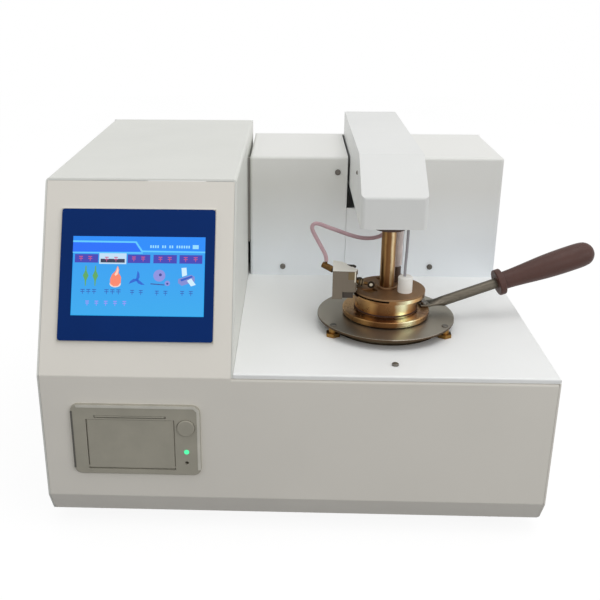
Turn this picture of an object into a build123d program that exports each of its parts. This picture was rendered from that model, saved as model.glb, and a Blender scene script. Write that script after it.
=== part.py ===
from build123d import *

import os
from math import atan2, cos, hypot, pi, radians, sin, tan

# Automatic closed-cup flash point tester: a desk-top housing with a sloping console on the left,
# a heated cup in the deck on the right, and a lifting arm that carries the lid, stirrer, shutter,
# igniter and sensors.
#
# Frame: millimetres, +Z up, origin on the bench under the middle of the housing. +X is to the
# operator's right and -Y faces the operator.

# ---------------------------------------------------------------- housing sizes
housing_width = 425.0
housing_depth = 370.0
foot_height = 12.0
foot_radius = 12.0
foot_inset = 38.0
sheet = 1.5  # steel sheet of every cover
bend = 3.0  # outside radius of a fold
seam = 0.2  # gap left at a seam between two sheets
console_width = 161.0
console_height = 282.0
slope_run = 75.5  # how far back the slope reaches
chamfer_height = 21.0
chamfer_inset = 11.0
deck_height = 139.0
deck_lip = 4.0  # the console starts to slope back, and the panels end, this far below the deck
flange_width = 14.0  # fixing flange folded inside a panel
vent_drop = 55.0  # of the rear vents' middle below the console's top
vent_rows = 7
vent_pitch = 9.0
vent_length = 70.0
vent_width = 3.2
broken_edge = 0.8  # on turned parts
deck_screw_from_front = 21.5

# ---------------------------------------------------------------- tower and lifting arm
tower_gap = 2.6  # console wall to tower
tower_inset = 3.3  # tower to the right-hand side of the housing
tower_depth = 130.0
tower_height = 267.0
slot_gap = 2.3  # each side of the arm in the tower's slot
slot_bridge = 4.0  # sheet left behind the slot in the tower's top
filler_height = 74.5
arm_width = 57.0
arm_underside = 237.7
arm_depth = 56.3
arm_nose_height = 27.8
arm_nose_from_front = 82.0
arm_fold_from_front = 126.3
arm_rear_gap = 1.2  # behind the arm, in the slot
nose_corner = 4.0  # radius of the upright corners at the arm's nose
left_screw = (34.5, 9.7)  # on the tower's face, from its left-hand edge and foot
right_screw = (68.0, 11.0)  # from its right-hand edge and foot
upper_screw = (90.0, 15.8)  # from its left-hand edge and top
base_plate_thickness = 4.0
lift_travel = 105.0

# ---------------------------------------------------------------- test head, all about one axis
head_from_left = 294.4
head_from_front = 111.6
plate_radius = 62.3
plate_thickness = 2.0
standoff_height = 8.0
standoff_across_flats = 11.5
standoff_nut_height = 3.4
standoff_post_radius = 3.9
standoff_circle = 58.0
standoff_angles = (90.0, 212.0, 329.5)
seat_height = 1.9
seat_wall = 2.4
cup_inner_radius = 25.4
cup_depth = 56.0
cup_floor = 2.4
cup_wall_radius = 28.5
cup_flange_radius = 39.5
cup_flange_thickness = 4.5
cup_rim_radius = 27.0
cup_rim_height = 14.7
cup_side_clearance = 0.8
lid_gap = 0.2
lid_skirt_clearance = 0.3
lid_skirt_wall = 1.3
lid_radius = 32.5
lid_shift = (2.0, -2.5)  # the cover plate's centre, off the axis of the cup
lid_floor = 1.6
lid_slit = 1.6
lid_cap = 1.5
pocket_radius = 27.5
slit_from = 165.0
slit_to = 268.0

# ---------------------------------------------------------------- stirrer, shutter and column
running_gap = 0.08  # radial, of every shaft in its bore
shaft_radius = 2.5
sleeve_radius = 5.3
column_radius = 6.7
column_flange_radius = 14.5
column_flange_height = 6.6
column_collar_radius = 9.4
column_collar_height = 1.8
shutter_radius = 26.0
shutter_thickness = 1.2
shutter_hub_radius = 8.0
shutter_turn = 34.0
shutter_from = 82.0
shutter_to = 232.0
port_inner_radius = 13.0
port_outer_radius = 24.6
ports = ((94.0, 109.0), (146.0, 162.0), (198.0, 230.0))  # azimuths of the three lid openings
lower_blade_radius = 19.0
lower_blade_depth = 49.7
upper_blade_radius = 9.5
upper_blade_depth = 25.0
blade_width = 8.0
blade_thickness = 1.6
blade_pitch = 45.0
stirrer_hub_radius = 4.2
stirrer_hub_length = 6.4

# ---------------------------------------------------------------- motors inside the arm
stirrer_motor_radius = 12.0
stirrer_motor_height = 17.0
motor_post_height = 12.0
motor_post_radius = 2.5
motor_post_spacing = 32.0
motor_edge = 1.5  # radius round a motor's top
shaft_grip = 10.0  # how far the stirrer's shaft goes into its motor
shutter_motor_radius = 10.0
shutter_motor_height = 24.0
shutter_motor_back = 30.0  # behind the axis of the cup
sleeve_arm_length = 18.0

# ---------------------------------------------------------------- sensors and igniter on the lid
plug_radius = 6.5
plug_height = 14.5
probe_place = (15.0, -12.0)
detector_place = (10.0, 16.0)
gland_radius = 4.6
probe_radius = 3.0
probe_depth = 43.0
detector_reach = 4.0
lead_radius = 1.25
sleeve_lead_radius = 3.0
lead_span = 48.2  # height over which the bends of the two leads are set out
block_turn = -3.0
block_outer = -33.5  # of the igniter block, from the axis of its port
block_inner = -13.0
block_corner = (-11.0, 0.0)
block_front = -6.5
block_back = 23.6
block_back_inner = (-24.9, 20.2)
block_height = 19.6
block_leg_length = 9.0
block_leg_drop = 7.0
foot_tongue = (-24.0, -6.0, 8.0, 14.0)  # foot that screws the block to the lid, x then y
foot_tongue_height = 2.2
pivot_out = 19.2
pivot_height = 10.0
pivot_radius = 1.5
pivot_boss_radius = 2.7
pivot_length = 13.0
pivot_shift = 1.5  # of the pin's middle towards the block's back
pivot_bore_extra = 0.4
block_edge = 0.6
jaw_width = 6.6
jaw_floor = 1.6
jaw_top = 15.5
nozzle_radius = 1.5
barrel_radius = 2.2
barrel_from = 4.6
barrel_to = 12.6
barrel_ribs = 4
rib_depth = 0.35
burner_in = 1.4  # past the middle of the port at rest, as the dip swings it back
burner_height = 5.8
burner_radius = 3.2
burner_bore = 1.7
burner_width = 3.4
igniter_port_radius = 19.5
igniter_port_angle = 213.0
union_length = 11.0
union_radius = 2.9
union_back = 10.2
union_height = 15.2
union_sweep = 30.0  # turned to the rear
union_tilt = 15.0  # and upwards
nipple_along = 0.68
nipple_radius = 1.1
nipple_height = 4.9
hose_radius = 1.8

# ---------------------------------------------------------------- cup handle
handle_azimuth = 9.0
handle_elevation = 17.2
handle_root = 40.0
handle_root_height = 3.0  # axis above the underside of the flange, at the root
tang_width = 13.0
tang_thickness = 2.2
tang_inner = 31.5
tang_screw_spacing = 6.8
shank_start = 54.0
shank_radius = 4.75
collar_at = 104.0
collar_radius = 12.2
collar_length = 6.0
grip_length = 88.0
grip_neck_radius = 8.2
grip_radius = 11.6
grip_end_radius = 9.4
grip_socket = 25.0  # how far the shank goes into the grip

# ---------------------------------------------------------------- furnace
furnace_radius = 49.0
furnace_wall = 1.0
can_gap = 7.0  # under the furnace block
deck_hole_gap = 2.0
well_gap = 4.1
well_floor_gap = 5.0
block_wall = 11.0
furnace_floor = 9.0
heater_thickness = 1.6

# ---------------------------------------------------------------- screen on the slope
bezel_left = 16.0
bezel_up = 28.8
bezel_width = 128.0
bezel_height = 110.0
bezel_thickness = 2.4
bezel_lip = 6.0
screen_width = 110.0
screen_height = 66.0
screen_left = 26.2
screen_up = 49.6
screen_depth = 9.0
bezel_corner = 2.5
screen_edge = 0.4

# ---------------------------------------------------------------- printer in the front panel
printer_left = 25.3
printer_bottom = 44.2
printer_width = 108.2
printer_height = 66.1
printer_corner = 7.0
printer_lip = 2.4
printer_proud = 2.6
door_left = 13.0
door_bottom = 5.4
door_width = 73.4
door_height = 46.8
door_thickness = 3.4
door_gap = 0.3
door_pin_radius = 1.5
door_recess = 0.2  # of the door's face behind the frame's
door_corner = 1.5
lug_inset = 3.0  # of the roller's lugs from the door's ends
lug_drop = 14.0
printer_edge = 1.2
printer_boss_depth = 6.0  # of the frame behind the front panel
paper_slit_height = 2.2
paper_slit_width = 60.0
tray_depth = 54.0
tray_wall = 2.0
roller_radius = 4.0
roller_drop = 6.5
roller_back = 5.6  # behind the front panel
roller_pin_radius = 1.6
roller_skin = 0.2
paper_core_radius = 6.0
print_head_depth = 7.0
print_head_drop = 4.0
slit_rise = 1.4  # above the door's opening
paper_radius = 18.0
paper_width = 57.5
button_right = 96.2
button_up = 45.8
button_radius = 7.3
button_travel = 1.2
button_proud = 1.6
button_length = 7.0
button_wall = 1.8
lamp_length = 8.0
lamp_proud = 0.6
lamp_edge = 0.7
lamp_up = 22.8
lamp_radius = 2.2
pinhole_up = 12.3
pinhole_radius = 1.6

# ---------------------------------------------------------------- rear panel and inside
screw_radius = 1.5
screw_hole_radius = 1.8
screw_head_radius = 2.9
screw_head_height = 2.0
low_head_height = 0.9
fan_size = 40.0
fan_depth = 15.0
fan_wall = 1.2
fan_hub_radius = 8.5
fan_blade_count = 7
fan_blade_pitch = 40.0
fan_blade_width = 11.0
fan_blade_thickness = 1.2
fan_pin_radius = 1.5
fan_pin_length = 5.0
guard_rings = (6.5, 10.5, 14.5, 18.0)
guard_wire = 2.6
guard_spoke = 2.2
guard_thickness = 1.2
guard_hole_inset = 4.0
fan_from_left = 300.0
fan_height = 66.0
inlet_from_left = 70.0
inlet_height = 45.0
inlet_width = 27.0
inlet_tall = 20.0
inlet_depth = 26.0
inlet_flange = 2.0
inlet_corner = 2.5
inlet_rim = 1.75
inlet_socket_depth = 15.0
inlet_pins = ((-7.0, -2.0), (7.0, -2.0), (0.0, 2.0))
inlet_pin_width = 2.0
inlet_pin_height = 4.0
switch_height = 82.0
switch_width = 21.0
switch_tall = 15.0
switch_travel = 16.0
switch_flange = 1.5
switch_proud = 1.6
switch_depth = 16.0
switch_wall = 1.2
switch_well = 12.0
rocker_gap = 0.9
rocker_pivot_depth = 3.0
rocker_ends = (2.2, 6.2)  # of the rocker's two ends, from its pivot outwards
rocker_waist = 5.0
rocker_keel = 2.5
rocker_edge = 0.4
trunnion_radius = 1.2
gas_from_left = 360.0
gas_height = 70.0
gas_barb_radius = 4.0
gas_barb_length = 14.0
gas_bore_radius = 2.0
gas_hex = 16.0
gas_hex_height = 4.0
gas_tail = 12.0
motor_size = 42.3
motor_height = 36.0
lift_rod_radius = 4.0
lift_screw_radius = 4.0
lift_rod_gap = 6.908  # motor to rod
lift_block_end = 8.9465  # rod to the end of the guide block
lift_block_width = 46.0
lift_block_height = 26.0
supply_width = 100.0
supply_depth = 84.0
supply_height = 34.0
supply_gap = 12.0  # behind and in front of the power supply
board_width = 130.0
board_depth = 76.0
board_thickness = 1.6
board_post_height = 10.0
board_inset = 12.0
chip_size = 22.0
chip_height = 2.4

# ---------------------------------------------------------------- places worked out from the sizes
left_x = -housing_width / 2
right_x = housing_width / 2
front_y = -housing_depth / 2
rear_y = housing_depth / 2
floor_z = foot_height
pan_z = floor_z + sheet
console_x = left_x + console_width
console_z = floor_z + console_height
chamfer_z = floor_z + chamfer_height
slope_y = front_y + slope_run
deck_z = floor_z + deck_height
fold_z = deck_z - deck_lip
panel_y = rear_y - sheet  # inner face of the rear panel
tower_left = console_x + tower_gap
tower_right = right_x - tower_inset
tower_y = rear_y - tower_depth
tower_z = floor_z + tower_height

head_x = left_x + head_from_left
head_y = front_y + head_from_front
head_profile = Plane((head_x, head_y, 0), x_dir=(1, 0, 0), z_dir=(0, -1, 0))
head_line = Axis((head_x, head_y, 0), (0, 0, 1))
plate_z = deck_z + standoff_height
plate_top = plate_z + plate_thickness
flange_z = plate_top + seat_height
flange_top = flange_z + cup_flange_thickness
rim_z = flange_top + cup_rim_height
cup_floor_z = rim_z - cup_depth
cup_bottom_z = cup_floor_z - cup_floor
lid_z = rim_z + lid_gap
slit_z = lid_z + lid_floor
cap_z = slit_z + lid_slit
lid_top = cap_z + lid_cap
skirt_radius = cup_rim_radius + lid_skirt_clearance

arm_half = arm_width / 2
arm_bottom = floor_z + arm_underside
arm_top = arm_bottom + arm_depth
nose_y = front_y + arm_nose_from_front
arm_fold_y = front_y + arm_fold_from_front
arm_slope_z = arm_bottom + arm_nose_height
slot_half = arm_half + slot_gap
slot_end_y = panel_y - slot_bridge
arm_rear_y = slot_end_y - arm_rear_gap
lift_y = (tower_y + arm_rear_y) / 2
lift_rod_spacing = motor_size + 2 * (lift_rod_gap + lift_rod_radius)
lift_block_length = lift_rod_spacing + 2 * (lift_rod_radius + lift_block_end)
base_plate_top = arm_bottom + base_plate_thickness

seat_inner = cup_wall_radius + cup_side_clearance
seat_outer = seat_inner + seat_wall
well_radius = cup_wall_radius + well_gap
well_floor_z = cup_bottom_z - well_floor_gap
furnace_block_radius = well_radius + block_wall


def block(x0, x1, y0, y1, z0, z1, mode=Mode.ADD):
    """A block between two corners, in the part that is being built."""
    with Locations(((x0 + x1) / 2, (y0 + y1) / 2, (z0 + z1) / 2)):
        Box(x1 - x0, y1 - y0, z1 - z0, mode=mode)


def rod(x, y, z0, z1, radius, mode=Mode.ADD):
    """An upright cylinder from z0 to z1, in the part that is being built."""
    with Locations((x, y, (z0 + z1) / 2)):
        Cylinder(radius, z1 - z0, mode=mode)


def head_rod(radius, z0, z1, mode=Mode.ADD):
    """A cylinder on the axis of the cup."""
    rod(head_x, head_y, z0, z1, radius, mode)


def around_head(radius, azimuth, z=0.0):
    """The point at a radius and an azimuth about the axis of the cup."""
    return (
        head_x + radius * cos(radians(azimuth)),
        head_y + radius * sin(radians(azimuth)),
        z,
    )


def sheet_section(points, plane):
    """Cross-section of a folded sheet whose outside follows the points, with the sheet to the left."""
    with BuildSketch(plane) as section:
        with BuildLine():
            FilletPolyline(*points, radius=bend)
            offset(amount=sheet, side=Side.LEFT)
        make_face()
    return section.sketch


def ring_sector(inner, outer, start, end, z):
    """A sketch of part of a ring about the axis of the cup."""
    with BuildSketch(Plane((head_x, head_y, z))) as sector:
        with BuildLine():
            outside = CenterArc((0, 0), outer, start, end - start)
            inside = CenterArc((0, 0), inner, start, end - start)
            Line(outside @ 0, inside @ 0)
            Line(outside @ 1, inside @ 1)
        make_face()
    return sector.sketch


def pan_head(place, direction, shank, height=screw_head_height):
    """A pan-head screw whose head sits at a place and whose shank runs against the direction."""
    with BuildPart(Plane(origin=place, z_dir=direction)) as screw:
        Cylinder(screw_head_radius, height, align=(Align.CENTER, Align.CENTER, Align.MIN))
        fillet(screw.edges().group_by(Axis(place, direction))[-1], height * 0.45)
        Cylinder(screw_radius, shank, align=(Align.CENTER, Align.CENTER, Align.MAX))
    return screw.part


# ================================================================ housing
front_foot_y = front_y + chamfer_inset

with BuildPart() as base_pan:
    pan_left = left_x + sheet + seam
    pan_path = (
        (right_x, fold_z),
        (right_x, floor_z),
        (pan_left, floor_z),
        (pan_left, floor_z + flange_width),
    )
    pan_section = sheet_section([(x, z) for x, z in reversed(pan_path)], Plane.XZ.offset(-panel_y))
    extrude(pan_section, amount=panel_y - front_y)
    with BuildSketch(Plane.YZ.offset(left_x)):
        Polygon(
            (front_y - sheet, floor_z - sheet),
            (front_foot_y, floor_z - sheet),
            (front_foot_y, floor_z),
            (front_y, chamfer_z),
            (front_y - sheet, chamfer_z),
            align=None,
        )
    extrude(amount=housing_width, mode=Mode.SUBTRACT)
    block(
        left_x,
        right_x - sheet,
        front_y - sheet,
        front_foot_y + 2 * sheet,
        floor_z - sheet,
        fold_z,
        mode=Mode.SUBTRACT,
    )
    with Locations((0, 0, floor_z)):
        with GridLocations(
            housing_width - 2 * foot_inset, housing_depth - 2 * foot_inset, 2, 2
        ):
            Cylinder(screw_hole_radius, 4 * sheet, mode=Mode.SUBTRACT)

with BuildPart() as feet:
    with GridLocations(housing_width - 2 * foot_inset, housing_depth - 2 * foot_inset, 2, 2):
        Cone(
            foot_radius * 0.85,
            foot_radius,
            foot_height,
            align=(Align.CENTER, Align.CENTER, Align.MIN),
        )
        Cylinder(
            foot_radius * 0.45,
            foot_height * 0.4,
            align=(Align.CENTER, Align.CENTER, Align.MIN),
            mode=Mode.SUBTRACT,
        )

panel_left = left_x + sheet + seam
panel_right = right_x - sheet - seam
slope_angle = atan2(console_z - fold_z, slope_run)
slope_length = hypot(slope_run, console_z - fold_z)
slope_plane = Plane(
    origin=(left_x, front_y, fold_z),
    x_dir=(1, 0, 0),
    z_dir=(0, -sin(slope_angle), cos(slope_angle)),
)
slope_end = slope_length - (sheet + seam) / sin(slope_angle)

with BuildPart() as front_panel:
    low = [(front_foot_y, floor_z), (front_y, chamfer_z), (front_y, fold_z)]
    slope_top = (front_y + slope_end * cos(slope_angle), fold_z + slope_end * sin(slope_angle))
    console_section = sheet_section(
        list(reversed(low + [slope_top])), Plane.YZ.offset(panel_left)
    )
    extrude(console_section, amount=console_x - sheet - seam - panel_left)
    deck_section = sheet_section(
        list(reversed(low + [(front_y + flange_width, fold_z)])),
        Plane.YZ.offset(console_x - sheet - seam),
    )
    extrude(deck_section, amount=panel_right - console_x + sheet + seam)
    with BuildSketch(slope_plane):
        with Locations((bezel_left + bezel_width / 2, bezel_up + bezel_height / 2)):
            RectangleRounded(bezel_width - 2 * bezel_lip, bezel_height - 2 * bezel_lip, 3)
    extrude(amount=2 * sheet, both=True, mode=Mode.SUBTRACT)
    with BuildSketch(Plane.XZ.offset(-front_y)):
        with Locations(
            (
                left_x + printer_left + printer_width / 2,
                floor_z + printer_bottom + printer_height / 2,
            )
        ):
            RectangleRounded(
                printer_width - 2 * printer_lip, printer_height - 2 * printer_lip, 4
            )
    extrude(amount=2 * sheet, both=True, mode=Mode.SUBTRACT)

wall_foot_z = fold_z + seam  # the console's inner wall stands just clear of the front panel's fold
with BuildPart() as console_cover:
    cover_section = sheet_section(
        [(left_x, floor_z), (left_x, console_z), (console_x, console_z), (console_x, wall_foot_z)][::-1],
        Plane.XZ.offset(-panel_y),
    )
    extrude(cover_section, amount=panel_y - front_y)
    with BuildSketch(Plane.YZ.offset(left_x - sheet)):
        Polygon(
            (front_y - sheet, floor_z - sheet),
            (front_foot_y, floor_z - sheet),
            (front_foot_y, floor_z),
            (front_y, chamfer_z),
            (front_y, fold_z),
            (slope_y, console_z),
            (slope_y, console_z + sheet),
            (front_y - sheet, console_z + sheet),
            align=None,
        )
    extrude(amount=console_width + 2 * sheet, mode=Mode.SUBTRACT)

deck_left = console_x + seam
deck_right = right_x
deck_front = front_y + seam

with BuildPart() as deck_plate:
    block(deck_left, deck_right, deck_front, panel_y, fold_z, deck_z)
    lip_edges = deck_plate.edges().filter_by(Axis.X).group_by(Axis.Z)[-1].sort_by(Axis.Y)[0]
    side_edges = deck_plate.edges().filter_by(Axis.Y).group_by(Axis.Z)[-1].sort_by(Axis.X)[-1]
    fillet([lip_edges, side_edges], sheet)
    block(
        deck_left - sheet,
        deck_right - sheet,
        deck_front + sheet,
        panel_y + sheet,
        fold_z - sheet,
        deck_z - sheet,
        mode=Mode.SUBTRACT,
    )
    head_rod(furnace_radius + deck_hole_gap, fold_z - sheet, deck_z + sheet, mode=Mode.SUBTRACT)
    for angle in standoff_angles:
        x, y, _ = around_head(standoff_circle, angle)
        rod(x, y, fold_z, deck_z + sheet, screw_hole_radius, mode=Mode.SUBTRACT)
    for offset_y in (-lift_rod_spacing / 2, lift_rod_spacing / 2):
        rod(head_x, lift_y + offset_y, fold_z, deck_z + sheet, lift_rod_radius + 1, Mode.SUBTRACT)
    rod(head_x, lift_y, fold_z, deck_z + sheet, lift_screw_radius + 7, Mode.SUBTRACT)
    deck_screw_place = (head_x, front_y + deck_screw_from_front, deck_z)
    rod(*deck_screw_place[:2], fold_z, deck_z + sheet, screw_hole_radius, Mode.SUBTRACT)

tower_screw_places = [
    (tower_left + left_screw[0], deck_z + left_screw[1]),
    (tower_right - right_screw[0], deck_z + right_screw[1]),
    (tower_left + upper_screw[0], tower_z - upper_screw[1]),
]

with BuildPart() as tower_cover:
    block(tower_left, tower_right, tower_y, panel_y, deck_z, tower_z)
    fillet(
        tower_cover.edges().filter_by(Axis.Z).group_by(Axis.Y)[0]
        + tower_cover.edges().group_by(Axis.Z)[-1].filter_by(Axis.Y)
        + tower_cover.edges().group_by(Axis.Z)[-1].filter_by(Axis.X).group_by(Axis.Y)[0],
        bend,
    )
    block(
        tower_left + sheet,
        tower_right - sheet,
        tower_y + sheet,
        panel_y + sheet,
        deck_z - sheet,
        tower_z - sheet,
        mode=Mode.SUBTRACT,
    )
    block(
        head_x - slot_half,
        head_x + slot_half,
        tower_y - sheet,
        slot_end_y,
        deck_z - sheet,
        tower_z + sheet,
        mode=Mode.SUBTRACT,
    )
    for x, z in tower_screw_places:
        with Locations(Location((x, tower_y, z), (90, 0, 0))):
            Cylinder(screw_hole_radius, 4 * sheet, mode=Mode.SUBTRACT)

with BuildPart() as tower_filler:
    filler_half = slot_half - 1.5 * seam
    block(
        head_x - filler_half, head_x + filler_half, tower_y, tower_y + sheet,
        deck_z, deck_z + filler_height,
    )
    block(
        head_x - filler_half, head_x + filler_half, tower_y, tower_y + flange_width,
        deck_z, deck_z + sheet,
    )

fan_x = left_x + fan_from_left
fan_z = floor_z + fan_height
inlet_x = left_x + inlet_from_left
inlet_z = floor_z + inlet_height
switch_z = floor_z + switch_height
gas_x = left_x + gas_from_left
gas_z = floor_z + gas_height

with BuildPart() as rear_panel:
    with BuildSketch(Plane.XZ.offset(-rear_y)):
        with BuildLine():
            Polyline(
                (left_x, floor_z),
                (right_x, floor_z),
                (right_x, deck_z),
                (tower_right, deck_z),
                (tower_right, tower_z),
                (tower_left, tower_z),
                (tower_left, deck_z),
                (console_x, deck_z),
                (console_x, console_z),
                (left_x, console_z),
                close=True,
            )
        make_face()
        with Locations((fan_x, fan_z)):
            Circle(fan_size / 2 - fan_wall, mode=Mode.SUBTRACT)
            with GridLocations(fan_size - 8, fan_size - 8, 2, 2):
                Circle(screw_hole_radius, mode=Mode.SUBTRACT)
        with Locations((inlet_x, inlet_z)):
            RectangleRounded(inlet_width, inlet_tall, 2, mode=Mode.SUBTRACT)
        with Locations((inlet_x, switch_z)):
            Rectangle(switch_width, switch_tall, mode=Mode.SUBTRACT)
        with Locations((gas_x, gas_z)):
            Circle(gas_barb_radius, mode=Mode.SUBTRACT)
        with Locations((inlet_x, console_z - vent_drop)):
            with GridLocations(0, vent_pitch, 1, vent_rows):
                SlotOverall(vent_length, vent_width, mode=Mode.SUBTRACT)
    extrude(amount=sheet)

# ================================================================ screen on the slope
with BuildPart(slope_plane.offset(0)) as screen_bezel:
    with Locations((bezel_left + bezel_width / 2, bezel_up + bezel_height / 2, 0)):
        Box(
            bezel_width,
            bezel_height,
            bezel_thickness,
            align=(Align.CENTER, Align.CENTER, Align.MIN),
        )
    fillet(screen_bezel.edges().filter_by(Axis(origin=(0, 0, 0), direction=slope_plane.z_dir)), bezel_corner)
    with Locations((screen_left + screen_width / 2, screen_up + screen_height / 2, 0)):
        Box(screen_width, screen_height, 6 * sheet, mode=Mode.SUBTRACT)

with BuildPart(slope_plane) as screen_panel:
    with Locations((screen_left + screen_width / 2, screen_up + screen_height / 2, bezel_thickness)):
        Box(
            screen_width - seam,
            screen_height - seam,
            screen_depth,
            align=(Align.CENTER, Align.CENTER, Align.MAX),
        )
    chamfer(screen_panel.faces().sort_by(Axis((0, 0, 0), slope_plane.z_dir))[-1].edges(), screen_edge)

# ================================================================ printer
printer_x = left_x + printer_left
printer_z = floor_z + printer_bottom
frame_y = front_y - printer_proud
door_x = printer_x + door_left
door_z = printer_z + door_bottom
door_hinge_y = frame_y + door_recess + door_thickness / 2
door_hinge_z = door_z + door_thickness / 2
opening_left = door_x - door_gap
opening_right = door_x + door_width + door_gap
opening_bottom = door_z - door_gap
opening_top = door_z + door_height + door_gap
slit_bottom = opening_top + slit_rise
tray_back_y = front_y + tray_depth
button_x = printer_x + button_right
button_z = printer_z + button_up
lamp_z = printer_z + lamp_up
pinhole_z = printer_z + pinhole_up
paper_x = door_x + door_width / 2

with BuildPart() as printer_frame:
    with BuildSketch(Plane.XZ.offset(-front_y)):
        with Locations((printer_x + printer_width / 2, printer_z + printer_height / 2)):
            RectangleRounded(printer_width, printer_height, printer_corner)
    extrude(amount=printer_proud)
    fillet(printer_frame.faces().sort_by(Axis.Y)[0].edges(), printer_edge)
    block(
        opening_left - tray_wall,
        button_x + button_radius + button_wall,
        front_y,
        front_y + printer_boss_depth,
        opening_bottom - tray_wall,
        printer_z + printer_height - printer_lip - 1,
    )
    block(
        opening_left,
        opening_right,
        frame_y - 1,
        front_y + printer_boss_depth + 1,
        opening_bottom,
        opening_top,
        mode=Mode.SUBTRACT,
    )
    block(
        paper_x - paper_slit_width / 2,
        paper_x + paper_slit_width / 2,
        frame_y - 1,
        front_y + printer_boss_depth + 1,
        slit_bottom,
        slit_bottom + paper_slit_height,
        mode=Mode.SUBTRACT,
    )
    for radius, z in (
        (button_radius + door_gap, button_z),
        (lamp_radius, lamp_z),
        (pinhole_radius, pinhole_z),
    ):
        with Locations(Location((button_x, front_y, z), (90, 0, 0))):
            Cylinder(radius, 4 * printer_boss_depth, mode=Mode.SUBTRACT)
    with Locations(Location((paper_x, door_hinge_y, door_hinge_z), (0, 90, 0))):
        Cylinder(door_pin_radius + running_gap, door_width + 6, mode=Mode.SUBTRACT)

with BuildPart() as printer_tray:
    block(
        opening_left - tray_wall,
        opening_right + tray_wall,
        front_y + 6,
        tray_back_y,
        opening_bottom - tray_wall,
        slit_bottom + paper_slit_height + tray_wall,
    )
    block(
        opening_left,
        opening_right,
        front_y + 5,
        tray_back_y - tray_wall,
        opening_bottom,
        slit_bottom + paper_slit_height,
        mode=Mode.SUBTRACT,
    )

roller_y = front_y + roller_back
roller_z = door_z + door_height - roller_drop
with BuildPart() as print_head:
    block(
        paper_x - paper_width / 2,
        paper_x + paper_width / 2,
        roller_y + roller_radius + door_gap,
        roller_y + roller_radius + print_head_depth,
        roller_z - print_head_drop,
        slit_bottom + paper_slit_height,
    )
    chamfer(print_head.edges().filter_by(Axis.X).sort_by(Axis.Z)[0], door_corner)

with BuildPart() as paper_roll:
    with Locations(
        Location(
            (paper_x, tray_back_y - tray_wall - 1 - paper_radius, opening_bottom + paper_radius),
            (0, 90, 0),
        )
    ):
        Cylinder(paper_radius, paper_width)
        Cylinder(paper_core_radius, paper_width, mode=Mode.SUBTRACT)

with BuildPart() as printer_door:
    with BuildSketch(Plane.YZ.offset(door_x)):
        with Locations((door_hinge_y, door_z + door_height / 2)):
            Rectangle(door_thickness, door_height)
    extrude(amount=door_width)
    fillet(printer_door.edges().filter_by(Axis.X).group_by(Axis.Z)[0], door_thickness / 2 - 0.05)
    fillet(printer_door.edges().filter_by(Axis.Y), door_corner)
    for side in (door_x + lug_inset, door_x + door_width - lug_inset - tray_wall):
        with BuildSketch(Plane.YZ.offset(side)):
            with BuildLine():
                Polyline(
                    (door_hinge_y, roller_z - lug_drop),
                    (roller_y + 1, roller_z - roller_radius),
                    (roller_y + roller_radius, roller_z),
                    (roller_y + 1, roller_z + roller_radius),
                    (door_hinge_y, roller_z + roller_radius),
                    close=True,
                )
            make_face()
            with Locations((roller_y, roller_z)):
                Circle(roller_pin_radius, mode=Mode.SUBTRACT)
        extrude(amount=tray_wall)
    with Locations(Location((paper_x, door_hinge_y, door_hinge_z), (0, 90, 0))):
        Cylinder(door_pin_radius, door_width + 4)

with BuildPart() as platen_roller:
    roller_length = door_width - 2 * (lug_inset + tray_wall) - 1
    with Locations(Location((paper_x, roller_y, roller_z), (0, 90, 0))):
        Cylinder(roller_radius - roller_skin, roller_length)
        Cylinder(roller_pin_radius - running_gap, roller_length + 2 * tray_wall)

with BuildPart() as printer_button:
    with Locations(Location((button_x, frame_y - button_proud, button_z), (90, 0, 0))):
        Cylinder(
            button_radius, button_length + button_proud, align=(Align.CENTER, Align.CENTER, Align.MAX)
        )
    fillet(printer_button.faces().sort_by(Axis.Y)[0].edges(), broken_edge)

with BuildPart() as printer_lamp:
    with Locations(Location((button_x, frame_y - lamp_proud, lamp_z), (90, 0, 0))):
        Cylinder(lamp_radius, lamp_length, align=(Align.CENTER, Align.CENTER, Align.MAX))
    fillet(printer_lamp.faces().sort_by(Axis.Y)[0].edges(), lamp_edge)

# ================================================================ furnace in the deck
with BuildPart() as furnace_plate:
    head_rod(plate_radius, plate_z, plate_top)
    fillet(furnace_plate.edges().group_by(Axis.Z)[-1], 0.5)
    head_rod(seat_inner, plate_z, plate_top, mode=Mode.SUBTRACT)
    for angle in standoff_angles:
        x, y, _ = around_head(standoff_circle, angle)
        rod(x, y, plate_z, plate_top, screw_hole_radius, mode=Mode.SUBTRACT)

with BuildPart() as plate_standoffs:
    for angle in standoff_angles:
        with BuildSketch(Plane(around_head(standoff_circle, angle, deck_z))):
            RegularPolygon(standoff_across_flats / 2, 6, major_radius=False, rotation=angle)
        extrude(amount=standoff_nut_height)
        x, y, _ = around_head(standoff_circle, angle)
        rod(x, y, deck_z, plate_z, standoff_post_radius)
        rod(x, y, deck_z, plate_z, screw_hole_radius, mode=Mode.SUBTRACT)

with BuildPart() as housing_screws:
    for angle in standoff_angles:
        place = around_head(standoff_circle, angle, plate_top)
        add(pan_head(place, (0, 0, 1), standoff_height, low_head_height))
    add(pan_head(deck_screw_place, (0, 0, 1), 6))
    for x, z in tower_screw_places:
        add(pan_head((x, tower_y, z), (0, -1, 0), 6))

with BuildPart() as cup_seat_ring:
    head_rod(seat_outer, plate_top, flange_z)
    head_rod(seat_inner, plate_top, flange_z, mode=Mode.SUBTRACT)

with BuildPart() as furnace_block:
    head_rod(furnace_block_radius, well_floor_z - furnace_floor, plate_z)
    head_rod(well_radius, well_floor_z, plate_z, mode=Mode.SUBTRACT)
    chamfer(furnace_block.edges().group_by(Axis.Z)[0], 2)

heater_outer = furnace_block_radius + heater_thickness
with BuildPart() as furnace_heater:
    head_rod(heater_outer, well_floor_z - 2, plate_z - 6)
    head_rod(furnace_block_radius, well_floor_z - 2, plate_z - 6, mode=Mode.SUBTRACT)

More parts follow.
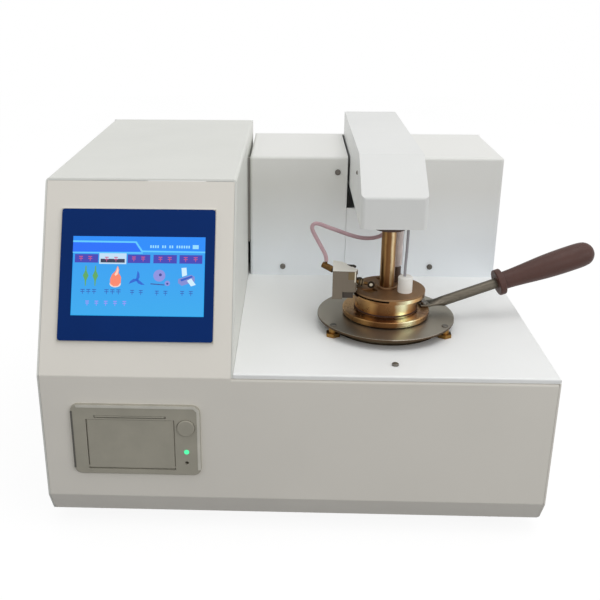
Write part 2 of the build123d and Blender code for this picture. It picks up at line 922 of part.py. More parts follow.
with BuildPart() as furnace_can:
    can_bottom = well_floor_z - furnace_floor - can_gap
    head_rod(furnace_radius, can_bottom, plate_z)
    fillet(furnace_can.edges().group_by(Axis.Z)[0], 3)
    head_rod(
        furnace_radius - furnace_wall, can_bottom + furnace_wall, plate_z, mode=Mode.SUBTRACT
    )

# ================================================================ lift inside the tower
motor_top = deck_z - sheet
motor_bottom = motor_top - motor_height
lift_block_top = deck_z + lift_block_height

with BuildPart() as lift_block:
    block(
        head_x - lift_block_width / 2,
        head_x + lift_block_width / 2,
        lift_y - lift_block_length / 2,
        lift_y + lift_block_length / 2,
        deck_z,
        lift_block_top,
    )
    fillet(lift_block.edges().filter_by(Axis.Z), 4)
    for offset_y in (-lift_rod_spacing / 2, lift_rod_spacing / 2):
        rod(
            head_x,
            lift_y + offset_y,
            deck_z,
            lift_block_top,
            lift_rod_radius + running_gap,
            mode=Mode.SUBTRACT,
        )
    rod(head_x, lift_y, deck_z, lift_block_top, lift_screw_radius + 7, mode=Mode.SUBTRACT)

with BuildPart() as lift_motor:
    with Locations((head_x, lift_y, (motor_bottom + motor_top) / 2)):
        Box(motor_size, motor_size, motor_height)
    chamfer(lift_motor.edges().filter_by(Axis.Z), 5)
    rod(
        head_x,
        lift_y,
        motor_bottom,
        motor_top,
        lift_screw_radius + running_gap,
        mode=Mode.SUBTRACT,
    )

rod_overlap = 22.0
with BuildPart() as lift_rods:
    rod_bottom = deck_z + rod_overlap - lift_travel - lift_block_height / 2
    for offset_y in (-lift_rod_spacing / 2, lift_rod_spacing / 2):
        rod(head_x, lift_y + offset_y, rod_bottom, arm_bottom, lift_rod_radius)
    chamfer(lift_rods.edges().group_by(Axis.Z)[0], broken_edge)

with BuildPart() as lift_screw:
    rod(head_x, lift_y, motor_top - 12 - lift_travel, arm_bottom, lift_screw_radius)
    chamfer(lift_screw.edges().group_by(Axis.Z)[0], 1)

# ================================================================ arm


def arm_plan(wall):
    """The arm's outline from above, a wall inside its cover, with the nose's rounded corners."""
    with BuildSketch(mode=Mode.PRIVATE) as plan:
        with Locations((head_x, (nose_y + arm_rear_y) / 2)):
            Rectangle(arm_width - 2 * wall, arm_rear_y - nose_y - 2 * wall)
        fillet(plan.vertices().group_by(Axis.Y)[0], nose_corner - wall)
    return Location((0, 0, arm_bottom)) * plan.sketch


with BuildPart() as arm_cover:
    with BuildSketch(Plane.YZ.offset(head_x - arm_half)):
        Polygon(
            (nose_y, arm_bottom),
            (nose_y, arm_slope_z),
            (arm_fold_y, arm_top),
            (arm_rear_y, arm_top),
            (arm_rear_y, arm_bottom),
            align=None,
        )
    extrude(amount=arm_width)
    folds = arm_cover.edges().filter_by(Axis.X).group_by(Axis.Z)
    fillet(folds[-1] + folds[-2], bend)
    extrude(arm_plan(0), amount=arm_depth, mode=Mode.INTERSECT)
    with BuildSketch(Plane.YZ.offset(head_x - arm_half), mode=Mode.PRIVATE) as inside:
        Polygon(
            (nose_y, arm_bottom),
            (nose_y, arm_slope_z - sheet * 1.2),
            (arm_fold_y + sheet * 0.3, arm_top - sheet),
            (arm_rear_y, arm_top - sheet),
            (arm_rear_y, arm_bottom),
            align=None,
        )
    hollow = extrude(inside.sketch, amount=arm_width, mode=Mode.PRIVATE)
    hollow_plan = extrude(arm_plan(sheet), amount=arm_depth, mode=Mode.PRIVATE)
    add(hollow & hollow_plan, mode=Mode.SUBTRACT)

with BuildPart() as arm_base_plate:
    extrude(arm_plan(sheet), amount=base_plate_thickness)
    head_rod(sleeve_radius + 1, arm_bottom, base_plate_top, mode=Mode.SUBTRACT)

motor_foot = base_plate_top + motor_post_height
with BuildPart() as stirrer_motor:
    head_rod(stirrer_motor_radius, motor_foot, motor_foot + stirrer_motor_height)
    fillet(stirrer_motor.edges().group_by(Axis.Z)[-1], motor_edge)
    for side in (-1, 1):
        rod(
            head_x + side * motor_post_spacing / 2, head_y,
            base_plate_top, motor_foot, motor_post_radius,
        )
    ears = motor_post_spacing / 2 + motor_post_radius
    block(
        head_x - ears, head_x + ears,
        head_y - 2 * motor_post_radius, head_y + 2 * motor_post_radius,
        motor_foot, motor_foot + sheet,
    )
    head_rod(shaft_radius + running_gap, motor_foot, motor_foot + shaft_grip, Mode.SUBTRACT)

with BuildPart() as shutter_motor:
    rod(
        head_x, head_y + shutter_motor_back,
        base_plate_top, base_plate_top + shutter_motor_height, shutter_motor_radius,
    )
    fillet(shutter_motor.edges().group_by(Axis.Z)[-1], motor_edge)

with BuildPart() as column_tube:
    head_rod(column_radius, lid_top, arm_bottom)
    head_rod(column_flange_radius, arm_bottom - column_flange_height, arm_bottom)
    chamfer(
        column_tube.edges().filter_by(GeomType.CIRCLE).sort_by(SortBy.RADIUS)[-2:], 0.6
    )
    head_rod(sleeve_radius + running_gap, lid_top, arm_bottom, mode=Mode.SUBTRACT)

# ================================================================ lid


def lid_holes(z0, z1):
    """Cuts the three test openings and the sensor holes through one plate of the lid."""
    for start, end in ports:
        add(
            extrude(
                ring_sector(port_inner_radius, port_outer_radius, start, end, z0),
                amount=z1 - z0,
                mode=Mode.PRIVATE,
            ),
            mode=Mode.SUBTRACT,
        )
    for x, y in (probe_place, detector_place):
        rod(head_x + x, head_y + y, z0, z1, probe_radius, mode=Mode.SUBTRACT)


lid_centre = (head_x + lid_shift[0], head_y + lid_shift[1])
with BuildPart() as lid_body:
    skirt_z = flange_top + lid_gap
    head_rod(skirt_radius + lid_skirt_wall, skirt_z, lid_z)
    head_rod(skirt_radius, skirt_z, lid_z, mode=Mode.SUBTRACT)
    rod(*lid_centre, lid_z, cap_z, lid_radius)
    head_rod(pocket_radius, slit_z, cap_z, mode=Mode.SUBTRACT)
    add(
        extrude(
            ring_sector(pocket_radius - 1, 1.2 * lid_radius, slit_from, slit_to, slit_z),
            amount=lid_slit,
            mode=Mode.PRIVATE,
        ),
        mode=Mode.SUBTRACT,
    )
    head_rod(shaft_radius + running_gap, lid_z, slit_z, mode=Mode.SUBTRACT)
    lid_holes(lid_z, slit_z)

with BuildPart() as lid_cap_plate:
    rod(*lid_centre, cap_z, lid_top, lid_radius)
    fillet(lid_cap_plate.edges().group_by(Axis.Z)[-1], 0.5)
    head_rod(column_collar_radius, lid_top, lid_top + column_collar_height)
    fillet(lid_cap_plate.edges().group_by(Axis.Z)[-1], broken_edge)
    head_rod(column_radius, lid_top, lid_top + column_collar_height, mode=Mode.SUBTRACT)
    head_rod(sleeve_radius + running_gap, cap_z, lid_top, mode=Mode.SUBTRACT)
    lid_holes(cap_z, lid_top)

shutter_z = slit_z + (lid_slit - shutter_thickness) / 2
with BuildPart() as shutter:
    add(
        extrude(
            ring_sector(shaft_radius + 1, shutter_radius, shutter_from, shutter_to, shutter_z),
            amount=shutter_thickness,
            mode=Mode.PRIVATE,
        )
    )
    head_rod(shutter_hub_radius, shutter_z, shutter_z + shutter_thickness)
    for start, end in ports:
        add(
            extrude(
                ring_sector(
                    port_inner_radius,
                    port_outer_radius,
                    start - shutter_turn,
                    end - shutter_turn,
                    shutter_z,
                ),
                amount=shutter_thickness,
                mode=Mode.PRIVATE,
            ),
            mode=Mode.SUBTRACT,
        )
    sleeve_top = base_plate_top + motor_post_height * 0.7
    head_rod(sleeve_radius, shutter_z, sleeve_top)
    head_rod(sleeve_radius + 4, base_plate_top + 2, sleeve_top)
    block(
        head_x - sleeve_radius / 2,
        head_x + sleeve_radius / 2,
        head_y,
        head_y + sleeve_arm_length,
        base_plate_top + 3,
        sleeve_top - 1,
    )
    head_rod(shaft_radius + running_gap, shutter_z, sleeve_top, mode=Mode.SUBTRACT)

with BuildPart() as stirrer:
    head_rod(shaft_radius, rim_z - lower_blade_depth - 3, motor_foot + shaft_grip)
    for radius, depth in (
        (lower_blade_radius, lower_blade_depth),
        (upper_blade_radius, upper_blade_depth),
    ):
        level = rim_z - depth
        head_rod(
            stirrer_hub_radius, level - stirrer_hub_length / 2, level + stirrer_hub_length / 2
        )
        for side in (0, 180):
            blade = Location(around_head(0, 0, level), (0, 0, 90 + side)) * Location(
                (0, 0, 0), (blade_pitch, 0, 0)
            )
            with BuildSketch(Plane(blade)):
                with Locations((radius / 2, 0)):
                    RectangleRounded(radius, blade_width, 1.5)
            extrude(amount=blade_thickness / 2, both=True)

# ================================================================ sensors on the lid
plug_places = [(head_x + x, head_y + y) for x, y in (probe_place, detector_place)]
probe_x, probe_y = plug_places[0]
detector_x, detector_y = plug_places[1]

with BuildPart() as sensor_plug:
    rod(probe_x, probe_y, lid_top, lid_top + plug_height, plug_radius)
    chamfer(sensor_plug.edges().group_by(Axis.Z)[-1], broken_edge)
    rod(probe_x, probe_y, lid_top, lid_top + plug_height / 2, probe_radius, Mode.SUBTRACT)

with BuildPart() as detector_gland:
    with BuildSketch(Plane((detector_x, detector_y, lid_top))):
        RegularPolygon(gland_radius, 6, major_radius=False)
    extrude(amount=plug_height * 0.45)
    rod(detector_x, detector_y, lid_top, lid_top + plug_height, gland_radius * 0.92)
    chamfer(detector_gland.edges().group_by(Axis.Z)[-1], broken_edge)
    rod(detector_x, detector_y, lid_top, lid_top + plug_height / 2, probe_radius, Mode.SUBTRACT)

with BuildPart() as lid_probes:
    for (x, y), bottom in zip(plug_places, (rim_z - probe_depth, lid_z - detector_reach)):
        rod(x, y, bottom, lid_top + plug_height / 2, probe_radius)
    for tip in lid_probes.faces().filter_by(Axis.Z).group_by(Axis.Z)[:2]:
        chamfer(tip.edges(), 1)

plug_top = lid_top + plug_height


def cord_radii(points):
    """The arc at each corner of a cord's route: 0.45 of the shorter run over tan of half the turn."""
    radii = []
    for before, here, after in zip(points, points[1:], points[2:]):
        run_in = Vector(*here) - Vector(*before)
        run_out = Vector(*after) - Vector(*here)
        half_turn = radians(run_in.get_angle(run_out)) / 2
        radii.append(0.45 * min(run_in.length, run_out.length) / tan(half_turn))
    return radii


def cord(points, radius):
    """A round cord along straight runs joined by tangent arcs."""
    radii = cord_radii(points)
    with BuildPart() as tube:
        with BuildLine() as route:
            FilletPolyline(*points, radius=radii)
        with BuildSketch(Plane(origin=route.line @ 0, z_dir=route.line % 0)):
            Circle(radius)
        sweep()
    length = sum(edge.length for edge in route.edges())
    share = tube.part.volume / (pi * radius**2 * length)
    print("cord radii", [round(r, 1) for r in radii], "length", round(length, 1))
    print("volume over section times length", round(share, 4))
    return tube.part


lead_scale = (arm_bottom - plug_top) / lead_span
temp_lead_route = [
    (probe_x - 0.8, probe_y, plug_top),
    (probe_x - 0.8, probe_y, plug_top + 10 * lead_scale),
    (probe_x - 0.2, probe_y + 0.2, plug_top + 22 * lead_scale),
    (probe_x, probe_y + 0.3, plug_top + 35 * lead_scale),
    (probe_x, probe_y + 0.3, arm_bottom),
]
detector_lead_route = [
    (detector_x, detector_y, plug_top),
    (detector_x, detector_y, plug_top + 10 * lead_scale),
    (detector_x - 0.5, detector_y + 0.2, plug_top + 22 * lead_scale),
    (detector_x - 0.7, detector_y + 0.3, plug_top + 35 * lead_scale),
    (detector_x - 0.7, detector_y + 0.3, arm_bottom),
]
with BuildPart() as temp_lead:
    add(cord(temp_lead_route, lead_radius))
with BuildPart() as detector_lead:
    add(cord(detector_lead_route, sleeve_lead_radius))

# ================================================================ igniter
# In this frame x runs inwards over the lid, along the nozzle, to the port that the flame dips into.
port_x, port_y, _ = around_head(igniter_port_radius, igniter_port_angle)
igniter_frame = Location((port_x, port_y, lid_top), (0, 0, block_turn))
pivot_place = igniter_frame * Location((-pivot_out, 0, pivot_height), (90, 0, 0))


def igniter_box(x0, x1, y0, y1, z0, z1, mode=Mode.ADD):
    """A block between two corners in the igniter's frame."""
    with Locations(igniter_frame * Location(((x0 + x1) / 2, (y0 + y1) / 2, (z0 + z1) / 2))):
        Box(x1 - x0, y1 - y0, z1 - z0, mode=mode)


with BuildPart() as igniter_block:
    with BuildSketch(Plane(igniter_frame)):
        Polygon(
            (block_outer, block_front),
            (block_inner, block_front),
            block_corner,
            block_back_inner,
            (block_outer, block_back),
            align=None,
        )
    extrude(amount=block_height)
    fillet(igniter_block.edges().filter_by(Axis.Z), block_edge)
    igniter_box(
        block_outer, block_outer + block_leg_length, block_front, block_back - 2,
        -block_leg_drop, 1,
    )
    tongue_x0, tongue_x1, tongue_y0, tongue_y1 = foot_tongue
    igniter_box(tongue_x0, tongue_x1, tongue_y0, tongue_y1, 0, foot_tongue_height)
    igniter_box(
        -pivot_out - pivot_boss_radius - 1, 0, -jaw_width / 2, jaw_width / 2, jaw_floor, jaw_top,
        mode=Mode.SUBTRACT,
    )
    with Locations(pivot_place * Location((0, 0, -pivot_shift))):
        Cylinder(pivot_radius + running_gap, pivot_length + pivot_bore_extra, mode=Mode.SUBTRACT)

with BuildPart() as igniter_nozzle:
    reach = hypot(pivot_out + burner_in, pivot_height - burner_height)
    droop = atan2(pivot_height - burner_height, pivot_out + burner_in) * 180 / pi
    nozzle_line = igniter_frame * Location((-pivot_out, 0, pivot_height), (0, 90 + droop, 0))
    with Locations(nozzle_line):
        Cylinder(nozzle_radius, reach, align=(Align.CENTER, Align.CENTER, Align.MIN))
    with Locations(nozzle_line * Location((0, 0, barrel_from))):
        Cylinder(
            barrel_radius, barrel_to - barrel_from, align=(Align.CENTER, Align.CENTER, Align.MIN)
        )
    pitch = (barrel_to - barrel_from) / (barrel_ribs + 1)
    for rib in range(barrel_ribs):
        with BuildSketch(Plane(nozzle_line * Location((0, 0, barrel_from + (rib + 0.75) * pitch)))):
            Circle(barrel_radius + rib_depth)
            Circle(barrel_radius - rib_depth, mode=Mode.SUBTRACT)
        extrude(amount=pitch / 2, mode=Mode.SUBTRACT)
    with Locations(pivot_place):
        Cylinder(pivot_boss_radius, jaw_width - 2 * door_gap)
    with Locations(pivot_place * Location((0, 0, -pivot_shift))):
        Cylinder(pivot_radius, pivot_length)
    with Locations(igniter_frame * Location((burner_in, 0, burner_height), (90, 0, 0))):
        Cylinder(burner_radius, burner_width)
        Cylinder(burner_bore, burner_width, mode=Mode.SUBTRACT)

with BuildPart() as gas_union:
    union_frame = igniter_frame * Location(
        (block_outer, union_back, union_height), (0, 0, -union_sweep)
    ) * Location((0, 0, 0), (0, union_tilt - 90, 0))
    with Locations(union_frame):
        Cylinder(union_radius, union_length, align=(Align.CENTER, Align.CENTER, Align.MIN))
    igniter_box(
        block_outer, 0, block_front, 2 * block_back, 0, block_height + union_radius,
        mode=Mode.SUBTRACT,
    )
    nipple = (union_frame * Location((0, 0, nipple_along * union_length))).position
    rod(nipple.X, nipple.Y, nipple.Z, nipple.Z + nipple_height, nipple_radius)

hose_x, hose_y, hose_z = nipple.X, nipple.Y, nipple.Z + nipple_height
hose_route = [
    (hose_x, hose_y, hose_z),
    (hose_x, hose_y, hose_z + 4.4),
    (hose_x - 4.4, hose_y + 0.3, hose_z + 12.6),
    (hose_x - 10.6, hose_y + 0.8, hose_z + 23.6),
    (hose_x - 13.5, hose_y + 1.2, hose_z + 29.3),
    (hose_x - 13.6, hose_y + 1.5, hose_z + 33.0),
    (hose_x - 10.9, hose_y + 1.8, hose_z + 35.2),
    (hose_x - 6.2, hose_y + 2.2, hose_z + 34.3),
    (hose_x + 0.5, hose_y + 2.8, hose_z + 31.3),
    (hose_x + 9.0, hose_y + 3.6, hose_z + 28.2),
    (hose_x + 20.2, hose_y + 6.0, hose_z + 23.3),
    (hose_x + 32.5, hose_y + 9.7, hose_z + 19.0),
    (hose_x + 43.5, hose_y + 12.9, hose_z + 18.2),
    (hose_x + 52.0, hose_y + 14.7, hose_z + 20.8),
    (hose_x + 54.4, hose_y + 15.1, hose_z + 27.5),
    (hose_x + 54.4, hose_y + 15.1, arm_bottom),
]
with BuildPart() as gas_hose:
    add(cord(hose_route, hose_radius))

# ================================================================ cup and handle
with BuildPart() as test_cup:
    with BuildSketch(head_profile):
        with BuildLine():
            Polyline(
                (0, cup_bottom_z),
                (cup_wall_radius, cup_bottom_z),
                (cup_wall_radius, flange_z),
                (cup_flange_radius, flange_z),
                (cup_flange_radius, flange_top),
                (cup_rim_radius, flange_top),
                (cup_rim_radius, rim_z),
                (cup_inner_radius, rim_z),
                (cup_inner_radius, cup_floor_z),
                (0, cup_floor_z),
                close=True,
            )
        make_face()
    revolve(axis=head_line)
    fillet(test_cup.edges().group_by(Axis.Z)[0], 1.5)
    rings = test_cup.edges().filter_by(GeomType.CIRCLE)
    fillet(rings.group_by(SortBy.RADIUS)[-1], broken_edge)

# in this frame x runs outwards along the handle's azimuth
handle_frame = Location((head_x, head_y, 0), (0, 0, handle_azimuth))


def handle_place(reach, turn):
    """A place on the handle's axis, a distance out from the cup's axis, tipped by an angle."""
    rise = (reach - handle_root) * tan(radians(handle_elevation))
    return handle_frame * Location(
        (reach, 0, flange_z + handle_root_height + rise), (0, turn, 0)
    )


tang_z = flange_top + tang_thickness / 2
tang_screw_reach = tang_inner + screw_head_radius + broken_edge
tang_screws = [
    (handle_frame * Location((tang_screw_reach, side * tang_screw_spacing / 2, tang_z))).position
    for side in (-1, 1)
]
with BuildPart() as handle_shank:
    with BuildSketch(Plane(handle_frame * Location((tang_inner, 0, tang_z), (0, 90, 0)))):
        RectangleRounded(tang_thickness, tang_width, tang_thickness * 0.3)
    extrude(amount=handle_root - tang_inner)
    with BuildSketch(Plane(handle_frame * Location((handle_root, 0, tang_z), (0, 90, 0)))) as flat:
        RectangleRounded(tang_thickness, tang_width, tang_thickness * 0.3)
    with BuildSketch(Plane(handle_place(shank_start, 90 - handle_elevation))) as round_end:
        Circle(shank_radius)
    loft()
    with BuildSketch(Plane(handle_place(shank_start, 90 - handle_elevation))):
        Circle(shank_radius)
    extrude(amount=(collar_at - shank_start) / cos(radians(handle_elevation)) + grip_socket)
    for place in tang_screws:
        rod(place.X, place.Y, tang_z - 2, tang_z + 2, screw_radius, mode=Mode.SUBTRACT)

with BuildPart() as handle_screws:
    for place in tang_screws:
        add(pan_head((place.X, place.Y, tang_z + tang_thickness / 2), (0, 0, 1), tang_thickness))

with BuildPart() as handle_grip:
    grip_place = handle_place(collar_at, -handle_elevation)
    with BuildSketch(Plane(grip_place * Location((0, 0, 0), (90, 0, 0)))):
        with BuildLine():
            Line((0, 0), (0, collar_radius - 1))
            RadiusArc((0, collar_radius - 1), (1, collar_radius), 1)
            Line((1, collar_radius), (collar_length - 1, collar_radius))
            RadiusArc((collar_length - 1, collar_radius), (collar_length, collar_radius - 1), 1)
            Line((collar_length, collar_radius - 1), (collar_length, grip_neck_radius))
            Spline(
                (collar_length, grip_neck_radius),
                (collar_length + grip_length * 0.45, grip_radius * 0.94),
                (collar_length + grip_length * 0.78, grip_radius),
                (collar_length + grip_length * 0.93, grip_radius * 0.9),
                tangents=((1, 0.02), (1, -0.3)),
            )
            RadiusArc(
                (collar_length + grip_length * 0.93, grip_radius * 0.9),
                (collar_length + grip_length, grip_end_radius * 0.5),
                grip_radius,
            )
            Line(
                (collar_length + grip_length, grip_end_radius * 0.5),
                (collar_length + grip_length, 0),
            )
            Line((collar_length + grip_length, 0), (0, 0))
        make_face()
    revolve(axis=Axis(grip_place.position, Plane(grip_place).x_dir))
    with BuildSketch(Plane(grip_place * Location((0, 0, 0), (0, 90, 0)))):
        Circle(shank_radius)
    extrude(amount=grip_socket, mode=Mode.SUBTRACT)

# ================================================================ inside the base and at the rear
with BuildPart() as fan_housing:
    with Locations((fan_x, panel_y - fan_depth / 2, fan_z)):
        Box(fan_size, fan_depth, fan_size)
    fillet(fan_housing.edges().filter_by(Axis.Y), 3)
    with Locations(Location((fan_x, panel_y, fan_z), (90, 0, 0))):
        Cylinder(
            fan_size / 2 - fan_wall,
            fan_depth - fan_wall,
            align=(Align.CENTER, Align.CENTER, Align.MIN),
            mode=Mode.SUBTRACT,
        )
    with BuildSketch(Plane.XZ.offset(-panel_y + fan_depth)):
        with Locations((fan_x, fan_z)):
            Circle(fan_size / 2 - fan_wall)
            Circle(fan_hub_radius, mode=Mode.SUBTRACT)
            with PolarLocations(0, 4, start_angle=45):
                with Locations((fan_size / 4, 0)):
                    Rectangle(fan_size / 2, 3, mode=Mode.SUBTRACT)
    extrude(amount=-2 * fan_wall, mode=Mode.SUBTRACT)
    with Locations(Location((fan_x, panel_y - fan_depth + fan_wall, fan_z), (-90, 0, 0))):
        Cylinder(
            fan_pin_radius, fan_pin_length, align=(Align.CENTER, Align.CENTER, Align.MIN)
        )

rotor_back = panel_y - fan_depth + fan_wall + door_gap
rotor_front = panel_y - 2
with BuildPart() as fan_rotor:
    with Locations(Location((fan_x, rotor_back, fan_z), (-90, 0, 0))):
        Cylinder(fan_hub_radius, rotor_front - rotor_back, align=(Align.CENTER,) * 2 + (Align.MIN,))
    for turn in range(fan_blade_count):
        blade = Location((fan_x, (rotor_back + rotor_front) / 2, fan_z)) * Location(
            (0, 0, 0), (0, turn * 360 / fan_blade_count, 0)
        ) * Location((fan_hub_radius - 1, 0, 0), (0, 90, 0)) * Location((0, 0, 0), (0, 0, fan_blade_pitch))
        with BuildSketch(Plane(blade)):
            RectangleRounded(fan_blade_thickness, fan_blade_width, 0.5)
        extrude(amount=fan_size / 2 - fan_wall - 1 - fan_hub_radius + 1)
    with Locations(Location((fan_x, rotor_back, fan_z), (-90, 0, 0))):
        Cylinder(
            fan_pin_radius + running_gap,
            fan_pin_length + 1,
            align=(Align.CENTER, Align.CENTER, Align.MIN),
            mode=Mode.SUBTRACT,
        )

with BuildPart() as fan_guard:
    with BuildSketch(Plane.XZ.offset(-rear_y)):
        with Locations((fan_x, fan_z)):
            RectangleRounded(fan_size, fan_size, 4)
            for ring in guard_rings:
                Circle(ring + guard_wire / 2, mode=Mode.SUBTRACT)
                Circle(ring - guard_wire / 2)
            with PolarLocations(0, 4, start_angle=45):
                with Locations((fan_size / 4, 0)):
                    Rectangle(fan_size / 2, guard_spoke)
            with GridLocations(
                fan_size - 2 * guard_hole_inset, fan_size - 2 * guard_hole_inset, 2, 2
            ):
                Circle(screw_hole_radius, mode=Mode.SUBTRACT)
    extrude(amount=-guard_thickness)

with BuildPart() as power_inlet:
    block(
        inlet_x - inlet_width / 2 - inlet_flange,
        inlet_x + inlet_width / 2 + inlet_flange,
        rear_y,
        rear_y + inlet_flange,
        inlet_z - inlet_tall / 2 - inlet_flange,
        inlet_z + inlet_tall / 2 + inlet_flange,
    )
    fillet(power_inlet.edges().filter_by(Axis.Y), inlet_corner)
    block(
        inlet_x - inlet_width / 2 + seam,
        inlet_x + inlet_width / 2 - seam,
        rear_y - inlet_depth,
        rear_y,
        inlet_z - inlet_tall / 2 + seam,
        inlet_z + inlet_tall / 2 - seam,
    )
    with BuildSketch(Plane.XZ.offset(-rear_y - inlet_flange)):
        with Locations((inlet_x, inlet_z)):
            Rectangle(inlet_width - 2 * inlet_rim, inlet_tall - 2 * inlet_flange)
    extrude(amount=inlet_flange + inlet_socket_depth, mode=Mode.SUBTRACT)
    for dx, dz in inlet_pins:
        block(
            inlet_x + dx - inlet_pin_width / 2,
            inlet_x + dx + inlet_pin_width / 2,
            rear_y - inlet_socket_depth - 1,
            rear_y,
            inlet_z + dz - inlet_pin_height / 2,
            inlet_z + dz + inlet_pin_height / 2,
        )

rocker_pivot_y = rear_y - rocker_pivot_depth
with BuildPart() as switch_frame:
    block(
        inlet_x - switch_width / 2 - switch_flange,
        inlet_x + switch_width / 2 + switch_flange,
        rear_y,
        rear_y + switch_proud,
        switch_z - switch_tall / 2 - switch_flange,
        switch_z + switch_tall / 2 + switch_flange,
    )
    fillet(switch_frame.edges().filter_by(Axis.Y), switch_flange)
    block(
        inlet_x - switch_width / 2 + seam,
        inlet_x + switch_width / 2 - seam,
        rear_y - switch_depth,
        rear_y,
        switch_z - switch_tall / 2 + seam,
        switch_z + switch_tall / 2 - seam,
    )
    block(
        inlet_x - switch_width / 2 + switch_wall,
        inlet_x + switch_width / 2 - switch_wall,
        rear_y - switch_well,
        rear_y + 2 * switch_proud,
        switch_z - switch_tall / 2 + switch_wall,
        switch_z + switch_tall / 2 - switch_wall,
        mode=Mode.SUBTRACT,
    )
    with Locations((inlet_x, rocker_pivot_y, switch_z)):
        Cylinder(trunnion_radius + running_gap, switch_tall - switch_wall, mode=Mode.SUBTRACT)

rocker_half = switch_width / 2 - switch_wall - rocker_gap
with BuildPart() as power_switch:
    rocker = Location((inlet_x, rocker_pivot_y, switch_z), (0, 0, -switch_travel / 2))
    with BuildSketch(Plane(rocker)):
        with BuildLine():
            Polyline(
                (-rocker_half, rocker_ends[0]),
                (-rocker_half, rocker_ends[1]),
                (0, rocker_waist),
                (rocker_half, rocker_ends[1]),
                (rocker_half, rocker_ends[0]),
                (0, -rocker_keel),
                close=True,
            )
        make_face()
    extrude(amount=switch_tall / 2 - switch_wall - door_gap, both=True)
    fillet(power_switch.edges().filter_by(Axis.Z), rocker_edge)
    with Locations((inlet_x, rocker_pivot_y, switch_z)):
        Cylinder(trunnion_radius, switch_tall - switch_wall - seam)

with BuildPart() as gas_inlet:
    with BuildSketch(Plane((gas_x, rear_y, gas_z), x_dir=(1, 0, 0), z_dir=(0, 1, 0))):
        RegularPolygon(gas_hex / 2, 6, major_radius=False)
    extrude(amount=gas_hex_height)
    with Locations(Location((gas_x, rear_y, gas_z), (-90, 0, 0))):
        Cylinder(
            gas_barb_radius - seam, gas_tail, align=(Align.CENTER, Align.CENTER, Align.MAX)
        )
        Cylinder(
            gas_barb_radius,
            gas_hex_height + gas_barb_length,
            align=(Align.CENTER, Align.CENTER, Align.MIN),
        )
    chamfer(gas_inlet.edges().group_by(Axis.Y)[-1], 1)
    with Locations(Location((gas_x, rear_y, gas_z), (-90, 0, 0))):
        Cylinder(gas_bore_radius, 4 * (gas_tail + gas_hex_height), mode=Mode.SUBTRACT)

supply_x = left_x + 0.05 * housing_width
supply_y = panel_y - inlet_depth - supply_gap - supply_depth
supply_side = supply_x + supply_width
with BuildPart() as power_supply:
    block(supply_x, supply_side, supply_y, supply_y + supply_depth, pan_z, pan_z + supply_height)
    fillet(power_supply.edges().filter_by(Axis.Z), 2)
    block(
        supply_side - supply_height / 3,
        supply_side,
        supply_y,
        supply_y + supply_depth,
        pan_z + supply_height / 2,
        pan_z + supply_height,
        mode=Mode.SUBTRACT,
    )

board_x = supply_x + board_width / 2
board_y = supply_y - supply_gap - board_depth / 2
board_z = pan_z + board_post_height
chip_z = board_z + board_thickness
with BuildPart() as control_board:
    with Locations((board_x, board_y, board_z)):
        Box(
            board_width, board_depth, board_thickness,
            align=(Align.CENTER, Align.CENTER, Align.MIN),
        )
    with Locations((board_x, board_y, pan_z)):
        with GridLocations(board_width - board_inset, board_depth - board_inset, 2, 2):
            Cylinder(3, board_post_height, align=(Align.CENTER, Align.CENTER, Align.MIN))
    with Locations((board_x, board_y, chip_z)):
        Box(chip_size, chip_size, chip_height, align=(Align.CENTER, Align.CENTER, Align.MIN))
    with Locations((board_x, board_y + board_depth / 2 - board_inset / 2, chip_z)):
        with GridLocations(chip_size, chip_size, 5, 1):
            Box(
                chip_size * 0.7, chip_size / 2, 4 * chip_height,
                align=(Align.CENTER, Align.CENTER, Align.MIN),
            )

# ================================================================ written out
pieces = {
    "base_pan": base_pan,
    "feet": feet,
    "front_panel": front_panel,
    "console_cover": console_cover,
    "deck_plate": deck_plate,
    "tower_cover": tower_cover,
    "tower_filler": tower_filler,
    "rear_panel": rear_panel,
    "screen_bezel": screen_bezel,
    "screen_panel": screen_panel,
    "printer_frame": printer_frame,
    "printer_tray": printer_tray,
    "print_head": print_head,
    "paper_roll": paper_roll,
    "printer_lamp": printer_lamp,
    "printer_door": printer_door,
    "platen_roller": platen_roller,
    "printer_button": printer_button,
    "furnace_plate": furnace_plate,
    "plate_standoffs": plate_standoffs,
    "housing_screws": housing_screws,
    "cup_seat_ring": cup_seat_ring,
    "furnace_block": furnace_block,
    "furnace_heater": furnace_heater,
    "furnace_can": furnace_can,
    "lift_block": lift_block,
    "lift_motor": lift_motor,
    "lift_rods": lift_rods,
    "lift_screw": lift_screw,
    "arm_cover": arm_cover,
    "arm_base_plate": arm_base_plate,
    "stirrer_motor": stirrer_motor,
    "shutter_motor": shutter_motor,
    "column_tube": column_tube,
    "lid_body": lid_body,
    "lid_cap_plate": lid_cap_plate,
    "shutter": shutter,
    "stirrer": stirrer,
    "sensor_plug": sensor_plug,
    "detector_gland": detector_gland,
    "lid_probes": lid_probes,
    "temp_lead": temp_lead,
    "detector_lead": detector_lead,
    "igniter_block": igniter_block,
    "igniter_nozzle": igniter_nozzle,
    "gas_union": gas_union,
    "gas_hose": gas_hose,
    "test_cup": test_cup,
    "handle_shank": handle_shank,
    "handle_screws": handle_screws,
    "handle_grip": handle_grip,
    "fan_housing": fan_housing,
    "fan_rotor": fan_rotor,
    "fan_guard": fan_guard,
    "power_inlet": power_inlet,
    "switch_frame": switch_frame,
    "power_switch": power_switch,
    "gas_inlet": gas_inlet,
    "power_supply": power_supply,
    "control_board": control_board,
}

os.makedirs("parts", exist_ok=True)
for label, piece in pieces.items():
    piece.part.label = label
    export_step(piece.part, f"parts/{label}.step")
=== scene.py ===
import math

import bmesh
import bpy
from mathutils import Matrix, Vector


